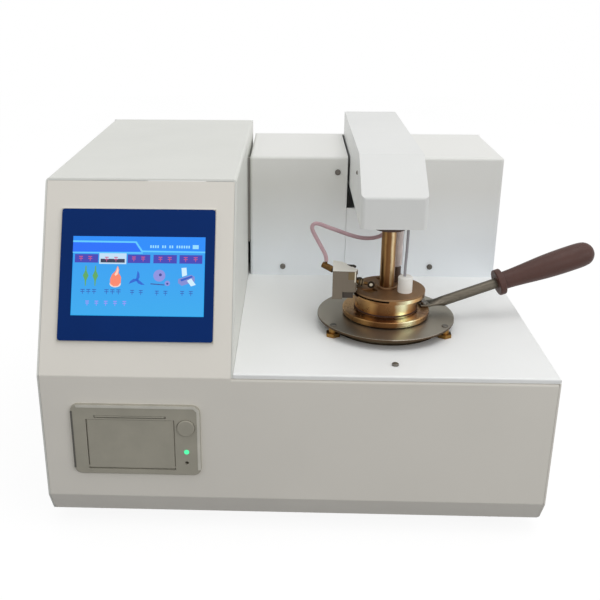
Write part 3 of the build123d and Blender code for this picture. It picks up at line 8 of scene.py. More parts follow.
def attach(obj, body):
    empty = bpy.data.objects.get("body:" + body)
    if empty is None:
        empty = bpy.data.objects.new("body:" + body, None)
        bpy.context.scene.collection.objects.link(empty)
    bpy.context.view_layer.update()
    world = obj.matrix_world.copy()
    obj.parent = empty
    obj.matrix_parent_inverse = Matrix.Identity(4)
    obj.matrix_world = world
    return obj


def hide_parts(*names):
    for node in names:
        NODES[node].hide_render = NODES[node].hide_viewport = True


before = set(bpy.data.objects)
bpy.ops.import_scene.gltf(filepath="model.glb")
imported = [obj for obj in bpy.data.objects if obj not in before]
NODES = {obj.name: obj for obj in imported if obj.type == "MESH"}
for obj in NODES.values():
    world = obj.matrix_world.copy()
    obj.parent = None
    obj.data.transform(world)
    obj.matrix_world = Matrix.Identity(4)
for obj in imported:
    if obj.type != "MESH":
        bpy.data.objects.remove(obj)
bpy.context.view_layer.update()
MM = 0.001

# ---------------------------------------------------------------- places that the CAD gives, mm
HEAD = (81.9, -73.4)
SLOPE_FOOT = (-212.5, -185.0, 147.0)
SLOPE_RUN, SLOPE_RISE = 75.5, 147.0
SCREEN_LEFT, SCREEN_UP, SCREEN_W, SCREEN_H = 26.2, 49.6, 110.0, 66.0
SCREEN_FACE = 2.4
BEZEL_LEFT, BEZEL_UP, BEZEL_W, BEZEL_H = 16.0, 28.8, 128.0, 110.0
PRINTER_CORNER = (-187.2, -187.6, 56.2)
DOOR_LEFT, DOOR_RIGHT = 13.0, 86.4
GAP_LEFT, GAP_RIGHT, GAP_FRONT = -51.5, -48.9, 55.0
TOWER_TOP = 279.0
ARM_SIDE_REFLECTION = (53.4, -46.0, 286.2)
ARM_BOTTOM = 249.7
COLUMN_FLANGE_RADIUS = 14.5
FLANGE_BOTTOM = 162.9
IGNITER_PLACE, IGNITER_TURN = (65.546, -84.02, 187.0), -3.0
BLOCK_FRONT, BLOCK_TOP = 6.5, 19.6  # from the igniter's own frame, the front towards the viewer
TONGUE_TOP = 2.2
BURNER, NOZZLE_DROOP = (1.4, 0.0, 5.8), 11.5
HOSE_START = (26.566, -68.146, 209.036)
LEAD_START_Z = 201.5


def srgb(*rgb):
    """A colour written as 0-255 screen values, as the linear colour that a shader takes."""
    out = []
    for c in rgb:
        c /= 255
        out.append(c / 12.92 if c <= 0.04045 else ((c + 0.055) / 1.055) ** 2.4)
    return tuple(out) + (1.0,)


def added(name, data):
    """A new object of the scene."""
    made = bpy.data.objects.new(name, data)
    bpy.context.scene.collection.objects.link(made)
    return made


def mesh_object(name, mesh, look):
    """A bmesh made into an object of one material."""
    data = bpy.data.meshes.new(name)
    mesh.to_mesh(data)
    mesh.free()
    data.materials.append(look)
    return added(name, data)


# ---------------------------------------------------------------- camera
CAMERA_PLACE = (-0.00522, -0.80542, 0.4602)
YAW, PITCH = math.radians(-2.091), math.radians(20.531)
FOCAL_PX, CENTRE_PX, FRAME_PX = 852.33, (261.95, 285.99), 600
SENSOR_MM = 36

forward = Vector(
    (math.sin(YAW) * math.cos(PITCH), math.cos(YAW) * math.cos(PITCH), -math.sin(PITCH))
)
right = Vector((math.cos(YAW), -math.sin(YAW), 0))
up = right.cross(forward)
camera_data = bpy.data.cameras.new("camera")
camera = added("camera", camera_data)
turn = Matrix((right, up, -forward)).transposed().to_4x4()
camera.matrix_world = Matrix.Translation(CAMERA_PLACE) @ turn
camera_data.sensor_width = SENSOR_MM
camera_data.lens = FOCAL_PX / FRAME_PX * SENSOR_MM
camera_data.shift_x = (FRAME_PX / 2 - CENTRE_PX[0]) / FRAME_PX
camera_data.shift_y = (CENTRE_PX[1] - FRAME_PX / 2) / FRAME_PX
bpy.context.scene.camera = camera
bpy.context.scene.view_settings.view_transform = "Standard"


# ---------------------------------------------------------------- cords
SIDES_QUARTER, STEPS_BETWEEN = 6, 16


def spline(name, points, radius, body):
    """A cord as one smooth open curve whose control points are in millimetres."""
    data = bpy.data.curves.new(name, "CURVE")
    data.dimensions = "3D"
    # The tube's radius is this times the points' own, which is small: it widens the curve's box.
    data.bevel_depth = radius
    data.bevel_resolution = SIDES_QUARTER
    data.resolution_u = STEPS_BETWEEN
    data.use_fill_caps = True
    line = data.splines.new("NURBS")
    line.points.add(len(points) - 1)
    for point, place in zip(line.points, points):
        point.co = (*[c * MM for c in place], 1)
        point.radius = MM
    line.order_u = 3
    line.use_endpoint_u = True
    piece = added(name, data)
    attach(piece, body)
    return piece


TEMP_ROUTE = [
    (96.1, -85.4, LEAD_START_Z), (96.1, -85.4, 211.5), (96.7, -85.2, 223.5),
    (96.9, -85.1, 236.5), (96.9, -85.1, ARM_BOTTOM),
]
DETECTOR_ROUTE = [
    (91.9, -57.4, LEAD_START_Z), (91.9, -57.4, 211.5), (91.4, -57.2, 223.5),
    (91.2, -57.1, 236.5), (91.2, -57.1, ARM_BOTTOM),
]
HOSE_STEPS = [
    (0, 0, 0), (0, 0, 4.4), (-4.4, 0.3, 12.6), (-10.6, 0.8, 23.6), (-13.5, 1.2, 29.3),
    (-13.6, 1.5, 33.0), (-10.9, 1.8, 35.2), (-6.2, 2.2, 34.3), (0.5, 2.8, 31.3),
    (9, 3.6, 28.2), (20.2, 6.0, 23.3), (32.5, 9.7, 19.0), (43.5, 12.9, 18.2),
    (52.0, 14.7, 20.8), (54.4, 15.1, 27.5), (54.4, 15.1, 40.664),
]
HOSE_ROUTE = [tuple(a + b for a, b in zip(HOSE_START, step)) for step in HOSE_STEPS]
# node: piece, route, radius in mm, slot, length in m
CORDS = {
    "temp_lead": ("temp_cord", TEMP_ROUTE, 1.25, "lead_grey", 0.048),
    "detector_lead": ("detector_cord", DETECTOR_ROUTE, 3.0, "lead_white", 0.048),
    "gas_hose": ("hose_cord", HOSE_ROUTE, 1.8, "hose_pink", 0.127),
}
cord_pieces = {}
for node, (name, route, radius, slot, length) in CORDS.items():
    piece = spline(name, route, radius, "lift_arm")
    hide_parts(node)
    cord_pieces[node] = piece


# ---------------------------------------------------------------- materials
LOW_STOP, HIGH_STOP = 0.3, 0.7  # between which a noise shades from one colour to the other
COAT_GRAIN, COAT_GRAIN_DEPTH = 900.0, 0.00006
COAT_WAVE, COAT_WAVE_DEPTH = 14.0, 0.0006


def shade(colour, factor):
    return tuple(min(1.0, c * factor) for c in colour[:3]) + (1.0,)


class Shader:
    """A node material whose colour, roughness and relief vary over the surface."""

    def __init__(self, name, roughness, metallic=0.0):
        self.material = bpy.data.materials.new(name)
        self.material.use_nodes = True
        self.tree = self.material.node_tree
        self.bsdf = self.tree.nodes["Principled BSDF"]
        self.give(self.bsdf, **{"Metallic": metallic, "Roughness": roughness})
        self.place = self.node("ShaderNodeTexCoord").outputs["Object"]
        self.normal = None

    @staticmethod
    def give(node, **values):
        for key, value in values.items():
            node.inputs[key].default_value = value

    def node(self, kind, **values):
        """A new node, with values for its sockets or else its own settings."""
        made = self.tree.nodes.new(kind)
        for key, value in values.items():
            if key in made.inputs:
                made.inputs[key].default_value = value
            else:
                setattr(made, key, value)
        return made

    def link(self, a, b):
        self.tree.links.new(a, b)

    def moved(self, location=(0, 0, 0), scale=(1, 1, 1)):
        made = self.node("ShaderNodeMapping", Location=location, Scale=scale)
        self.link(self.place, made.inputs["Vector"])
        return made.outputs["Vector"]

    def about_head(self):
        """The place of a point from the axis of the cup."""
        return self.moved(location=(-HEAD[0] * MM, -HEAD[1] * MM, 0))

    def noise(self, scale, detail=3.0, place=None):
        made = self.node("ShaderNodeTexNoise", Scale=scale, Detail=detail)
        self.link(place or self.place, made.inputs["Vector"])
        return made.outputs["Fac"]

    def turned(self, scale):
        """Lathe rings about the axis of the cup."""
        made = self.node("ShaderNodeTexWave", Scale=scale, Distortion=0.4, Detail=2.0)
        made.wave_type = "RINGS"
        made.rings_direction = "Z"
        self.link(self.about_head(), made.inputs["Vector"])
        return made.outputs["Fac"]

    def height(self, bottom, top):
        """0 at the bottom height and 1 at the top one, both in metres."""
        split = self.node("ShaderNodeSeparateXYZ")
        self.link(self.place, split.inputs["Vector"])
        spread = self.node("ShaderNodeMapRange", **{"From Min": bottom, "From Max": top})
        self.link(split.outputs["Z"], spread.inputs["Value"])
        return spread.outputs["Result"]

    def uneven(self, factor, share, noise):
        """A factor with some noise added to it."""
        made = self.node("ShaderNodeMath", operation="MULTIPLY_ADD")
        made.inputs[1].default_value = share
        self.link(noise, made.inputs[0])
        self.link(factor, made.inputs[2])
        return made.outputs[0]

    def colours(self, factor, stops):
        ramp = self.node("ShaderNodeValToRGB")
        while len(ramp.color_ramp.elements) < len(stops):
            ramp.color_ramp.elements.new(0.5)
        for element, (position, colour) in zip(ramp.color_ramp.elements, stops):
            element.position = position
            element.color = colour
        self.link(factor, ramp.inputs["Fac"])
        self.link(ramp.outputs["Color"], self.bsdf.inputs["Base Color"])

    def mottled(self, factor, colour, darker, lighter):
        self.colours(
            factor, [(LOW_STOP, shade(colour, darker)), (HIGH_STOP, shade(colour, lighter))]
        )

    def roughness(self, factor, low, high):
        made = self.node("ShaderNodeMapRange", **{"To Min": low, "To Max": high})
        self.link(factor, made.inputs["Value"])
        self.link(made.outputs["Result"], self.bsdf.inputs["Roughness"])

    def relief(self, factor, depth, strength):
        made = self.node("ShaderNodeBump", Strength=strength, Distance=depth)
        self.link(factor, made.inputs["Height"])
        if self.normal is not None:
            self.link(self.normal, made.inputs["Normal"])
        self.normal = made.outputs["Normal"]
        self.link(self.normal, self.bsdf.inputs["Normal"])

    def powder_coat(self):
        """The fine grain and the slow waves of a baked coat."""
        self.relief(self.noise(COAT_GRAIN, 2.0), COAT_GRAIN_DEPTH, 0.5)
        self.relief(self.noise(COAT_WAVE, 1.0), COAT_WAVE_DEPTH, 0.12)


def painted(name, colour, roughness=0.42):
    s = Shader(name, roughness)
    s.mottled(s.noise(9.0, 4.0), colour, 0.975, 1.02)
    s.roughness(s.noise(40.0), roughness - 0.05, roughness + 0.08)
    s.powder_coat()
    return s.material


def deck_lit_graded(name, high, low, top, bottom):
    """Powder coat with painted light: paler low down, as the pale deck's bounced light painted in;
    two colours and the heights of each.
    """
    s = Shader(name, 0.4)
    height = s.uneven(s.height(bottom * MM, top * MM), 0.06, s.noise(9.0, 4.0))
    s.colours(height, [(0.0, low), (1.0, high)])
    s.powder_coat()
    return s.material


def moulded(name, colour, roughness=0.5, grain=2600.0, depth=0.00004):
    s = Shader(name, roughness)
    s.mottled(s.noise(60.0, 4.0), colour, 0.93, 1.05)
    s.roughness(s.noise(220.0), roughness - 0.07, roughness + 0.1)
    s.relief(s.noise(grain, 2.0), depth, 0.6)
    return s.material


def machined(name, colour, roughness=0.28, rings=900.0, spread=0.12, stain=35.0):
    s = Shader(name, roughness, 1.0)
    s.colours(
        s.noise(stain, 5.0),
        [(0.25, shade(colour, 1 - spread)), (0.6, colour), (0.8, shade(colour, 1 + spread))],
    )
    s.roughness(s.noise(160.0, 4.0), roughness - 0.07, roughness + 0.1)
    s.relief(s.turned(rings), 0.00002, 0.35)
    return s.material


def brushed(name, colour, roughness=0.35, stretch=(1, 1, 40), spread=0.1):
    s = Shader(name, roughness, 1.0)
    along = s.noise(90.0, 4.0, s.moved(scale=stretch))
    s.mottled(along, colour, 1 - spread, 1 + spread)
    s.roughness(along, roughness - 0.08, roughness + 0.1)
    s.relief(along, 0.00003, 0.4)
    return s.material


# Round the cup's axis, from its left by its front, right and back: place and colour of brass, with
# painted reflection: dark on its front and a painted highlight on its right.
BRASS_PAINTED_REFLECTION = (
    (0.0, (168, 132, 84)), (0.12, (132, 100, 66)), (0.17, (160, 124, 78)),
    (0.21, (102, 70, 42)), (0.29, (120, 86, 54)), (0.345, (255, 232, 186)),
    (0.375, (190, 152, 104)), (0.44, (112, 78, 48)), (0.6, (160, 126, 80)),
    (1.0, (168, 132, 84)),
)


def reflection_painted_brass(name, tint, roughness=0.32):
    """Turned brass with painted reflection: darker on its front, with a painted highlight streak on
    its right.
    """
    s = Shader(name, roughness, 1.0)
    around = s.node("ShaderNodeTexGradient", gradient_type="RADIAL")
    s.link(s.about_head(), around.inputs["Vector"])
    s.colours(
        s.uneven(around.outputs["Fac"], 0.03, s.noise(120.0, 2.0)),
        [(at, shade(srgb(*rgb), tint)) for at, rgb in BRASS_PAINTED_REFLECTION],
    )
    s.roughness(s.noise(160.0, 4.0), roughness - 0.08, roughness + 0.1)
    s.relief(s.turned(1100.0), 0.00002, 0.3)
    return s.material


def shaded_by_facing(name, top, side, roughness=0.5, metallic=0.0):
    """A satin part with painted light: pale on top, and painted darker on its upright sides as
    shade and dark reflection.
    """
    s = Shader(name, roughness, metallic)
    facing = s.node("ShaderNodeSeparateXYZ")
    s.link(s.node("ShaderNodeTexCoord").outputs["Normal"], facing.inputs["Vector"])
    s.colours(
        s.uneven(facing.outputs["Z"], 0.15, s.noise(260.0, 4.0)),
        [(0.0, shade(side, 0.9)), (0.15, side), (0.6, shade(side, 1.25)), (0.85, top)],
    )
    s.relief(s.noise(900.0, 2.0), 0.00004, 0.5)
    return s.material


def glossless(name, colour):
    """A flat printed face that mirrors next to nothing."""
    s = Shader(name, 0.6)
    s.mottled(s.noise(18.0, 3.0), colour, 0.94, 1.06)
    s.relief(s.noise(1500.0, 2.0), 0.00001, 0.3)
    s.give(s.bsdf, **{"Specular IOR Level": 0.1})
    return s.material


GLOW_LOW, GLOW_HIGH = 0.19, 0.25  # heights in m between which the display's glow changes colour


def lit(name, colour, strength=0.85, other=None):
    """Part of the lit display: it glows, with a fine pixel grain or towards another colour."""
    s = Shader(name, 0.25)
    grain = s.noise(1600.0, 1.0)
    s.mottled(grain, colour, 0.05, 0.07)
    ramp = s.node("ShaderNodeValToRGB")
    ramp.color_ramp.elements[0].color = shade(colour, 0.97)
    ramp.color_ramp.elements[1].color = other or shade(colour, 1.03)
    s.link(s.height(GLOW_LOW, GLOW_HIGH) if other else grain, ramp.inputs["Fac"])
    s.link(ramp.outputs["Color"], s.bsdf.inputs["Emission Color"])
    s.give(s.bsdf, **{"Emission Strength": strength})
    return s.material


def sleeve_material(name, colour, clearness):
    """A soft see-through hose or sleeve."""
    s = Shader(name, 0.3)
    s.mottled(s.noise(120.0, 3.0), colour, 0.9, 1.06)
    s.give(s.bsdf, **{"Transmission Weight": clearness, "IOR": 1.2})
    s.relief(s.noise(600.0), 0.00002, 0.3)
    return s.material


white_paint = painted("white_powder_coat", srgb(250, 251, 250))
# The tower's coat is paler towards the bottom: painted light bounced from the deck.
tower_paint = deck_lit_graded(
    "tower_powder_coat", srgb(236, 236, 232), srgb(246, 251, 255), top=250.0, bottom=175.0
)
arm_paint = painted("arm_powder_coat", srgb(232, 233, 231))
# The front panel and base: the white coat painted darker and warmer, as painted shade.
front_shaded_paint = painted("front_coat_painted_shade", srgb(235, 231, 222))
# The console cover: the white coat painted greyer, as painted shade.
console_shaded_paint = painted("console_coat_painted_shade", srgb(224, 225, 219))
grey_rubber = moulded("black_rubber", srgb(28, 28, 29), 0.75, 1500.0)
printer_grey = moulded("printer_grey", srgb(170, 166, 152), 0.55)
black_moulded = moulded("black_moulding", srgb(24, 24, 26), 0.45)
brass = machined("turned_brass", srgb(150, 114, 66), 0.34)
column_brass = reflection_painted_brass("column_brass", 0.95)
cup_brass = reflection_painted_brass("cup_brass", 1.35, 0.28)
lid_top_brass = machined("lid_top_brass", srgb(142, 112, 82), 0.5, 1200.0)
gland_brown = moulded("gland_brown", srgb(70, 50, 36), 0.4)
standoff_brass = brushed("standoff_brass", srgb(150, 114, 62), 0.3, (1, 1, 30), 0.2)
dark_brass = machined("tarnished_brass", srgb(112, 84, 50), 0.4, 900.0, 0.25, 200.0)
# The disc: pale on top, its rims painted darker as shade.
steel_disc = shaded_by_facing("tinted_steel_painted_shade", srgb(158, 152, 140), srgb(84, 68, 52), 0.4, 1.0)
can_steel = machined("heated_can", srgb(134, 118, 96), 0.3, 900.0, 0.2)
zinc = brushed("zinc_plate", srgb(176, 178, 182), 0.38, (1, 1, 1))
screw_steel = brushed("screw_steel", srgb(112, 108, 102), 0.4, (1, 1, 1), 0.25)
ground_steel = brushed("ground_steel", srgb(186, 184, 180), 0.3, (30, 30, 1))
handle_steel = brushed("handle_steel", srgb(104, 98, 88), 0.4, (1, 20, 20), 0.2)
aluminium = brushed("machined_aluminium", srgb(196, 198, 200), 0.36, (1, 30, 1))
cast = moulded("cast_iron", srgb(52, 51, 50), 0.7, 700.0, 0.0002)
mica = brushed("mica_band", srgb(150, 140, 122), 0.5, (1, 1, 12))
ptfe = moulded("white_ptfe", srgb(244, 242, 236), 0.42, 1800.0, 0.00002)
bakelite = moulded("brown_bakelite", srgb(72, 38, 28), 0.5, 700.0, 0.00005)
# The igniter block: cream on top and grey-brown on its sides, as painted reflection and shade.
igniter_metal = shaded_by_facing("igniter_body", srgb(236, 234, 224), srgb(124, 113, 98))
motor_black = painted("motor_black", srgb(30, 30, 32), 0.4)
board = moulded("green_board", srgb(24, 92, 52), 0.45, 300.0)
paper = moulded("thermal_paper", srgb(240, 240, 232), 0.7, 1200.0)
lead_grey = moulded("grey_sheath", srgb(158, 156, 160), 0.5, 900.0)
bezel_blue = glossless("blue_bezel", srgb(4, 46, 112))
display = lit("display_blue", srgb(44, 178, 250), 0.85, srgb(36, 158, 252))
lamp_green = lit("green_lamp", srgb(70, 235, 160), 1.2)
hose_pink = sleeve_material("pink_silicone", srgb(216, 184, 190), 0.35)
lead_white = sleeve_material("clear_sleeve", srgb(246, 236, 232), 0.45)
black_metal = machined("blackened_steel", srgb(58, 50, 42), 0.4)
pale_metal = brushed("pale_edge", srgb(228, 222, 204), 0.4, (1, 1, 1))
# Dark umber for painted shade in the lid's groove and on the column flange's side.
umber = moulded("umber_painted_shade", srgb(66, 42, 32), 0.55, 900.0)
# Dark grey for painted shade in the igniter's recess.
recess_shade_grey = moulded("recess_painted_shade", srgb(72, 64, 56), 0.6, 500.0, 0.0002)
tarnish = moulded("tarnished_patch", srgb(122, 104, 72), 0.5, 700.0)
# Pale and dark edge strips: painted highlight and painted shade.
edge_highlight_pale = moulded("printer_edge_highlight", srgb(214, 211, 200), 0.5)
edge_shade_dark = moulded("printer_edge_shade", srgb(92, 90, 84), 0.55)
# Grey for the painted shade of the console-tower gap.
gap_shade_grey = moulded("gap_shade_strip", srgb(150, 147, 142), 0.6)

LOOKS = {
    "base_pan": front_shaded_paint, "feet": grey_rubber, "front_panel": front_shaded_paint,
    "console_cover": console_shaded_paint, "deck_plate": white_paint, "tower_cover": tower_paint,
    "tower_filler": tower_paint, "rear_panel": white_paint, "screen_bezel": bezel_blue,
    "screen_panel": display, "printer_frame": printer_grey, "printer_tray": black_moulded,
    "print_head": black_moulded, "paper_roll": paper, "printer_lamp": lamp_green,
    "furnace_plate": steel_disc, "plate_standoffs": standoff_brass,
    "housing_screws": screw_steel, "cup_seat_ring": cup_brass, "furnace_block": cast,
    "furnace_heater": mica, "furnace_can": can_steel, "lift_block": aluminium,
    "lift_motor": motor_black, "fan_housing": black_moulded, "fan_guard": zinc,
    "power_inlet": black_moulded, "switch_frame": black_moulded, "gas_inlet": brass,
    "power_supply": zinc, "control_board": board, "arm_cover": arm_paint,
    "arm_base_plate": aluminium, "lift_rods": ground_steel, "lift_screw": ground_steel,
    "stirrer_motor": motor_black, "shutter_motor": motor_black, "column_tube": column_brass,
    "lid_body": cup_brass, "lid_cap_plate": lid_top_brass, "sensor_plug": ptfe,
    "detector_gland": gland_brown, "lid_probes": ground_steel, "temp_lead": lead_grey,
    "detector_lead": lead_white, "igniter_block": igniter_metal, "gas_union": dark_brass,
    "gas_hose": hose_pink, "shutter": brass, "stirrer": ground_steel,
    "igniter_nozzle": dark_brass, "test_cup": cup_brass, "handle_shank": handle_steel,
    "handle_screws": screw_steel, "handle_grip": bakelite, "printer_door": printer_grey,
    "platen_roller": grey_rubber, "printer_button": printer_grey, "power_switch": black_moulded,
    "fan_rotor": black_moulded,
}
for node, look in LOOKS.items():
    NODES[node].data.materials.clear()
    NODES[node].data.materials.append(look)
for node, piece in cord_pieces.items():
    piece.data.materials.append(LOOKS[node])


# ---------------------------------------------------------------- what the display shows
slope_length = math.hypot(SLOPE_RUN, SLOPE_RISE)
slope_up = Vector((0, SLOPE_RUN, SLOPE_RISE)) / slope_length
slope_out = Vector((0, -SLOPE_RISE, SLOPE_RUN)) / slope_length
ASPECT = SCREEN_W / SCREEN_H
SUNK = 0.6  # share of its height over the display that a drawn shape is thick


def on_screen(x, y, lift=0.0):
    """A point of the display: x and y from 0 to 1, from its upper left corner."""
    across = SCREEN_LEFT + x * SCREEN_W
    along = SCREEN_UP + (1 - y) * SCREEN_H
    place = Vector(SLOPE_FOOT) + Vector((across, 0, 0)) + slope_up * along
    return (place + slope_out * (SCREEN_FACE + lift)) * MM


def extruded(mesh, face, step):
    """Make a slab of a face."""
    made = bmesh.ops.extrude_face_region(mesh, geom=[face])
    new = [v for v in made["geom"] if isinstance(v, bmesh.types.BMVert)]
    bmesh.ops.translate(mesh, verts=new, vec=step)


def drawn(name, look_name, rgb, glow, lift, outlines):
    """Flat shapes on the display, each a thin slab with its own outline."""
    mesh = bmesh.new()
    for outline in outlines:
        face = mesh.faces.new([mesh.verts.new(on_screen(x, y, lift)) for x, y in outline])
        face.normal_update()
        if face.normal.dot(slope_out) < 0:
            face.normal_flip()
        extruded(mesh, face, -slope_out * lift * MM * SUNK)
    bmesh.ops.recalc_face_normals(mesh, faces=mesh.faces)
    piece = mesh_object(name, mesh, lit(look_name, srgb(*rgb), glow))
    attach(piece, "housing")


def rect(x0, y0, x1, y1):
    return [(x0, y0), (x1, y0), (x1, y1), (x0, y1)]


def disc(x, y, r, count=28, squeeze=1.0):
    return [
        (x + r * math.cos(a), y + squeeze * ASPECT * r * math.sin(a))
        for a in (2 * math.pi * k / count for k in range(count))
    ]


STROKE_FILL, BAR, STEM_FROM, STEM_TO = 0.72, 0.18, 0.42, 0.58


def marks(x0, x1, y, height, count=1):
    """Short strokes that stand for a word: a bar on top, one in the middle and a stem."""
    step = (x1 - x0) / count
    found = []
    for k in range(count):
        x, top, w = x0 + k * step, y - height / 2, step * STROKE_FILL
        found.append(rect(x, top, x + w, top + height * BAR))
        found.append(rect(x, y - height * 0.08, x + w, y + height * 0.08))
        found.append(rect(x + w * STEM_FROM, top, x + w * STEM_TO, y + height / 2))
    return found


def signs(places, height, width=0.04):
    """Single marks, each from its left end and its middle height."""
    return [bar for x, y in places for bar in marks(x, x + width, y, height)]


drawn("ui_header", "ui_header_blue", (0, 138, 255), 0.9, 0.04, [
    [(0, 0), (1, 0), (1, 0.19), (0.525, 0.19), (0.48, 0.075), (0, 0.075)],
])
drawn("ui_title", "ui_title_blue", (0, 108, 255), 0.9, 0.04, [
    [(0, 0.075), (0.48, 0.075), (0.525, 0.19), (0, 0.2)],
])
drawn("ui_rule", "ui_rule_cyan", (92, 200, 255), 0.95, 0.06, [
    [(0, 0.055), (0.48, 0.06), (0.528, 0.175), (1, 0.18),
     (1, 0.2), (0.52, 0.195), (0.472, 0.08), (0, 0.078)],
    rect(0, 0.2, 0.53, 0.214),
])
TABS = [(0.018, 0.195), (0.418, 0.588), (0.612, 0.788), (0.808, 0.98)]
drawn("ui_tabs", "ui_tab_purple", (58, 62, 188), 0.85, 0.05,
      [rect(left, 0.228, end, 0.335) for left, end in TABS])
drawn("ui_tab_edges", "ui_tab_pale", (196, 226, 250), 0.9, 0.045, [rect(0.203, 0.215, 0.408, 0.35)])
drawn("ui_tab_dark", "ui_tab_shadow", (44, 56, 92), 0.7, 0.06, [rect(0.213, 0.285, 0.396, 0.332)])
TAB_WORDS = [(x, 0.283) for x in (0.05, 0.12, 0.45, 0.52, 0.65, 0.72, 0.84, 0.915)]
drawn("ui_tab_words", "ui_word_red", (206, 84, 140), 0.85, 0.08,
      signs(TAB_WORDS + [(0.245, 0.29), (0.315, 0.29)], 0.06))
CAPTIONS = [(0.445, 0.705), (0.51, 0.705), (0.63, 0.71), (0.695, 0.71), (0.82, 0.71), (0.885, 0.71)]
CAPTION_HEIGHT = 0.062
drawn("ui_captions", "ui_caption_blue", (38, 106, 196), 0.85, 0.05,
      marks(0.07, 0.2, 0.7, CAPTION_HEIGHT, 3) + marks(0.25, 0.385, 0.7, CAPTION_HEIGHT, 3)
      + signs(CAPTIONS, CAPTION_HEIGHT))
drawn("ui_status", "ui_status_pink", (150, 150, 250), 0.9, 0.05,
      signs([(0.11 + 0.07 * k, 0.845) for k in range(5)], CAPTION_HEIGHT, 0.038))
CLOCK_LEFT, CLOCK_STEP, CLOCK_SIGN = 0.585, 0.018, 0.011
CLOCK_SIGNS = [CLOCK_LEFT + CLOCK_STEP * k for k in range(17) if k not in (4, 7, 10)]
drawn("ui_clock", "ui_clock_white", (150, 220, 255), 0.95, 0.06,
      [rect(x, 0.108, x + CLOCK_SIGN, 0.142) for x in CLOCK_SIGNS] + [rect(0.905, 0.1, 0.95, 0.15)])

# Half of a vial's outline, from its top: distance from its middle line, and height.
VIAL_SIDE = [(0.004, 0.375), (0.006, 0.44), (0.022, 0.5), (0.006, 0.56), (0.003, 0.63)]


def vial(x):
    left = [(x - half, y) for half, y in VIAL_SIDE]
    return left[:1] + [(x + half, y) for half, y in VIAL_SIDE] + left[:0:-1]


FLAME = [
    (0.345, 0.37), (0.356, 0.42), (0.352, 0.46), (0.372, 0.51), (0.372, 0.58), (0.352, 0.625),
    (0.318, 0.632), (0.292, 0.6), (0.29, 0.54), (0.304, 0.48), (0.328, 0.44),
]
FLAME_TIP = [(0.344, 0.38), (0.352, 0.43), (0.346, 0.48), (0.33, 0.5), (0.322, 0.48), (0.336, 0.44)]
drawn("ui_vials", "ui_vial_green", (92, 172, 96), 0.85, 0.05, [vial(0.105), vial(0.178)])
drawn("ui_flame_foot", "ui_flame_pale", (240, 214, 206), 0.95, 0.045,
      [disc(0.33, 0.6, 0.042, squeeze=0.62)])
drawn("ui_flame", "ui_flame_red", (248, 132, 104), 0.95, 0.06, [FLAME])
drawn("ui_flame_tip", "ui_flame_tip", (252, 206, 186), 0.95, 0.08, [FLAME_TIP])

STIRRER = (0.493, 0.545)
BLADE_LENGTH, BLADE_SWEEP, BLADE_HALF = 0.07, 0.45, 0.012


def blade(angle):
    """One swept blade of the stirrer sign."""
    out = []
    for t, side in ((0, 1), (0.35, 1), (0.7, 1), (1, 0), (0.7, -1), (0.35, -1), (0, -1)):
        r = BLADE_LENGTH * t
        a = angle + BLADE_SWEEP * t
        w = side * BLADE_HALF * math.sin(math.pi * min(1, t + 0.25) * 0.8)
        x = r * math.cos(a) - w * math.sin(a)
        y = r * math.sin(a) + w * math.cos(a)
        out.append((STIRRER[0] + x, STIRRER[1] - y * ASPECT))
    return out


drawn("ui_stirrer", "ui_stirrer_blue", (24, 100, 212), 0.9, 0.05,
      [blade(math.radians(a)) for a in (62, 182, 302)] + [disc(*STIRRER, BLADE_HALF)])
drawn("ui_wheel", "ui_wheel_violet", (140, 146, 226), 0.9, 0.05,
      [disc(0.66, 0.49, 0.045), disc(0.722, 0.585, 0.02)])
drawn("ui_wheel_dark", "ui_wheel_navy", (50, 70, 150), 0.9, 0.07, [
    disc(0.668, 0.48, 0.011), disc(0.722, 0.59, 0.008),
    [(0.595, 0.588), (0.7, 0.6), (0.7, 0.612), (0.595, 0.6)],
])
drawn("ui_printer_body", "ui_printer_violet", (130, 140, 214), 0.9, 0.05, [
    [(0.802, 0.53), (0.9, 0.475), (0.925, 0.5), (0.925, 0.56), (0.83, 0.615), (0.802, 0.58)],
])
drawn("ui_printer_paper", "ui_printer_pale", (206, 236, 255), 0.95, 0.06, [
    [(0.825, 0.39), (0.862, 0.385), (0.868, 0.48), (0.832, 0.5)],
    [(0.868, 0.55), (0.9, 0.52), (0.935, 0.6), (0.9, 0.62)],
])
drawn("ui_printer_slot", "ui_printer_blue", (30, 90, 200), 0.9, 0.08, [
    [(0.818, 0.535), (0.905, 0.485), (0.912, 0.505), (0.825, 0.56)],
])


# ---------------------------------------------------------------- small fitted pieces
def built(name, mesh, place, look, body):
    """Add a piece, drawn in the millimetres of a place's frame, that rides a body."""
    bmesh.ops.remove_doubles(mesh, verts=mesh.verts, dist=0.001)
    bmesh.ops.recalc_face_normals(mesh, faces=mesh.faces)
    mesh.transform(Matrix.Scale(MM, 4) @ place)
    piece = mesh_object(name, mesh, look)
    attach(piece, body)


def lathe(profile, count=64):
    """Turn a closed profile of (radius, height) about Z."""
    mesh = bmesh.new()
    rings = [
        [mesh.verts.new((r * math.cos(a), r * math.sin(a), z)) for r, z in profile]
        for a in (2 * math.pi * k / count for k in range(count))
    ]
    for k in range(count):
        one, two = rings[k], rings[(k + 1) % count]
        for j in range(len(profile)):
            i = (j + 1) % len(profile)
            mesh.faces.new([one[j], two[j], two[i], one[i]])
    return mesh


def sleeve(inner, outer, low, high):
    return lathe([(inner, low), (outer, low), (outer, high), (inner, high)])


def prisms(outlines, low, high, edge=0.0):
    """Upright slabs with their own outlines, with their edges rounded off."""
    mesh = bmesh.new()
    for outline in outlines:
        face = mesh.faces.new([mesh.verts.new((x, y, low)) for x, y in outline])
        extruded(mesh, face, (0, 0, high - low))
    if edge:
        bmesh.ops.bevel(
            mesh, geom=mesh.edges[:], offset=edge, segments=2, affect="EDGES", profile=0.5
        )
    return mesh


def at(*place):
    return Matrix.Translation(place)


def turned(degrees, axis):
    return Matrix.Rotation(math.radians(degrees), 4, axis)


WORLD = Matrix.Identity(4)
FACING_FRONT = turned(90, "X")

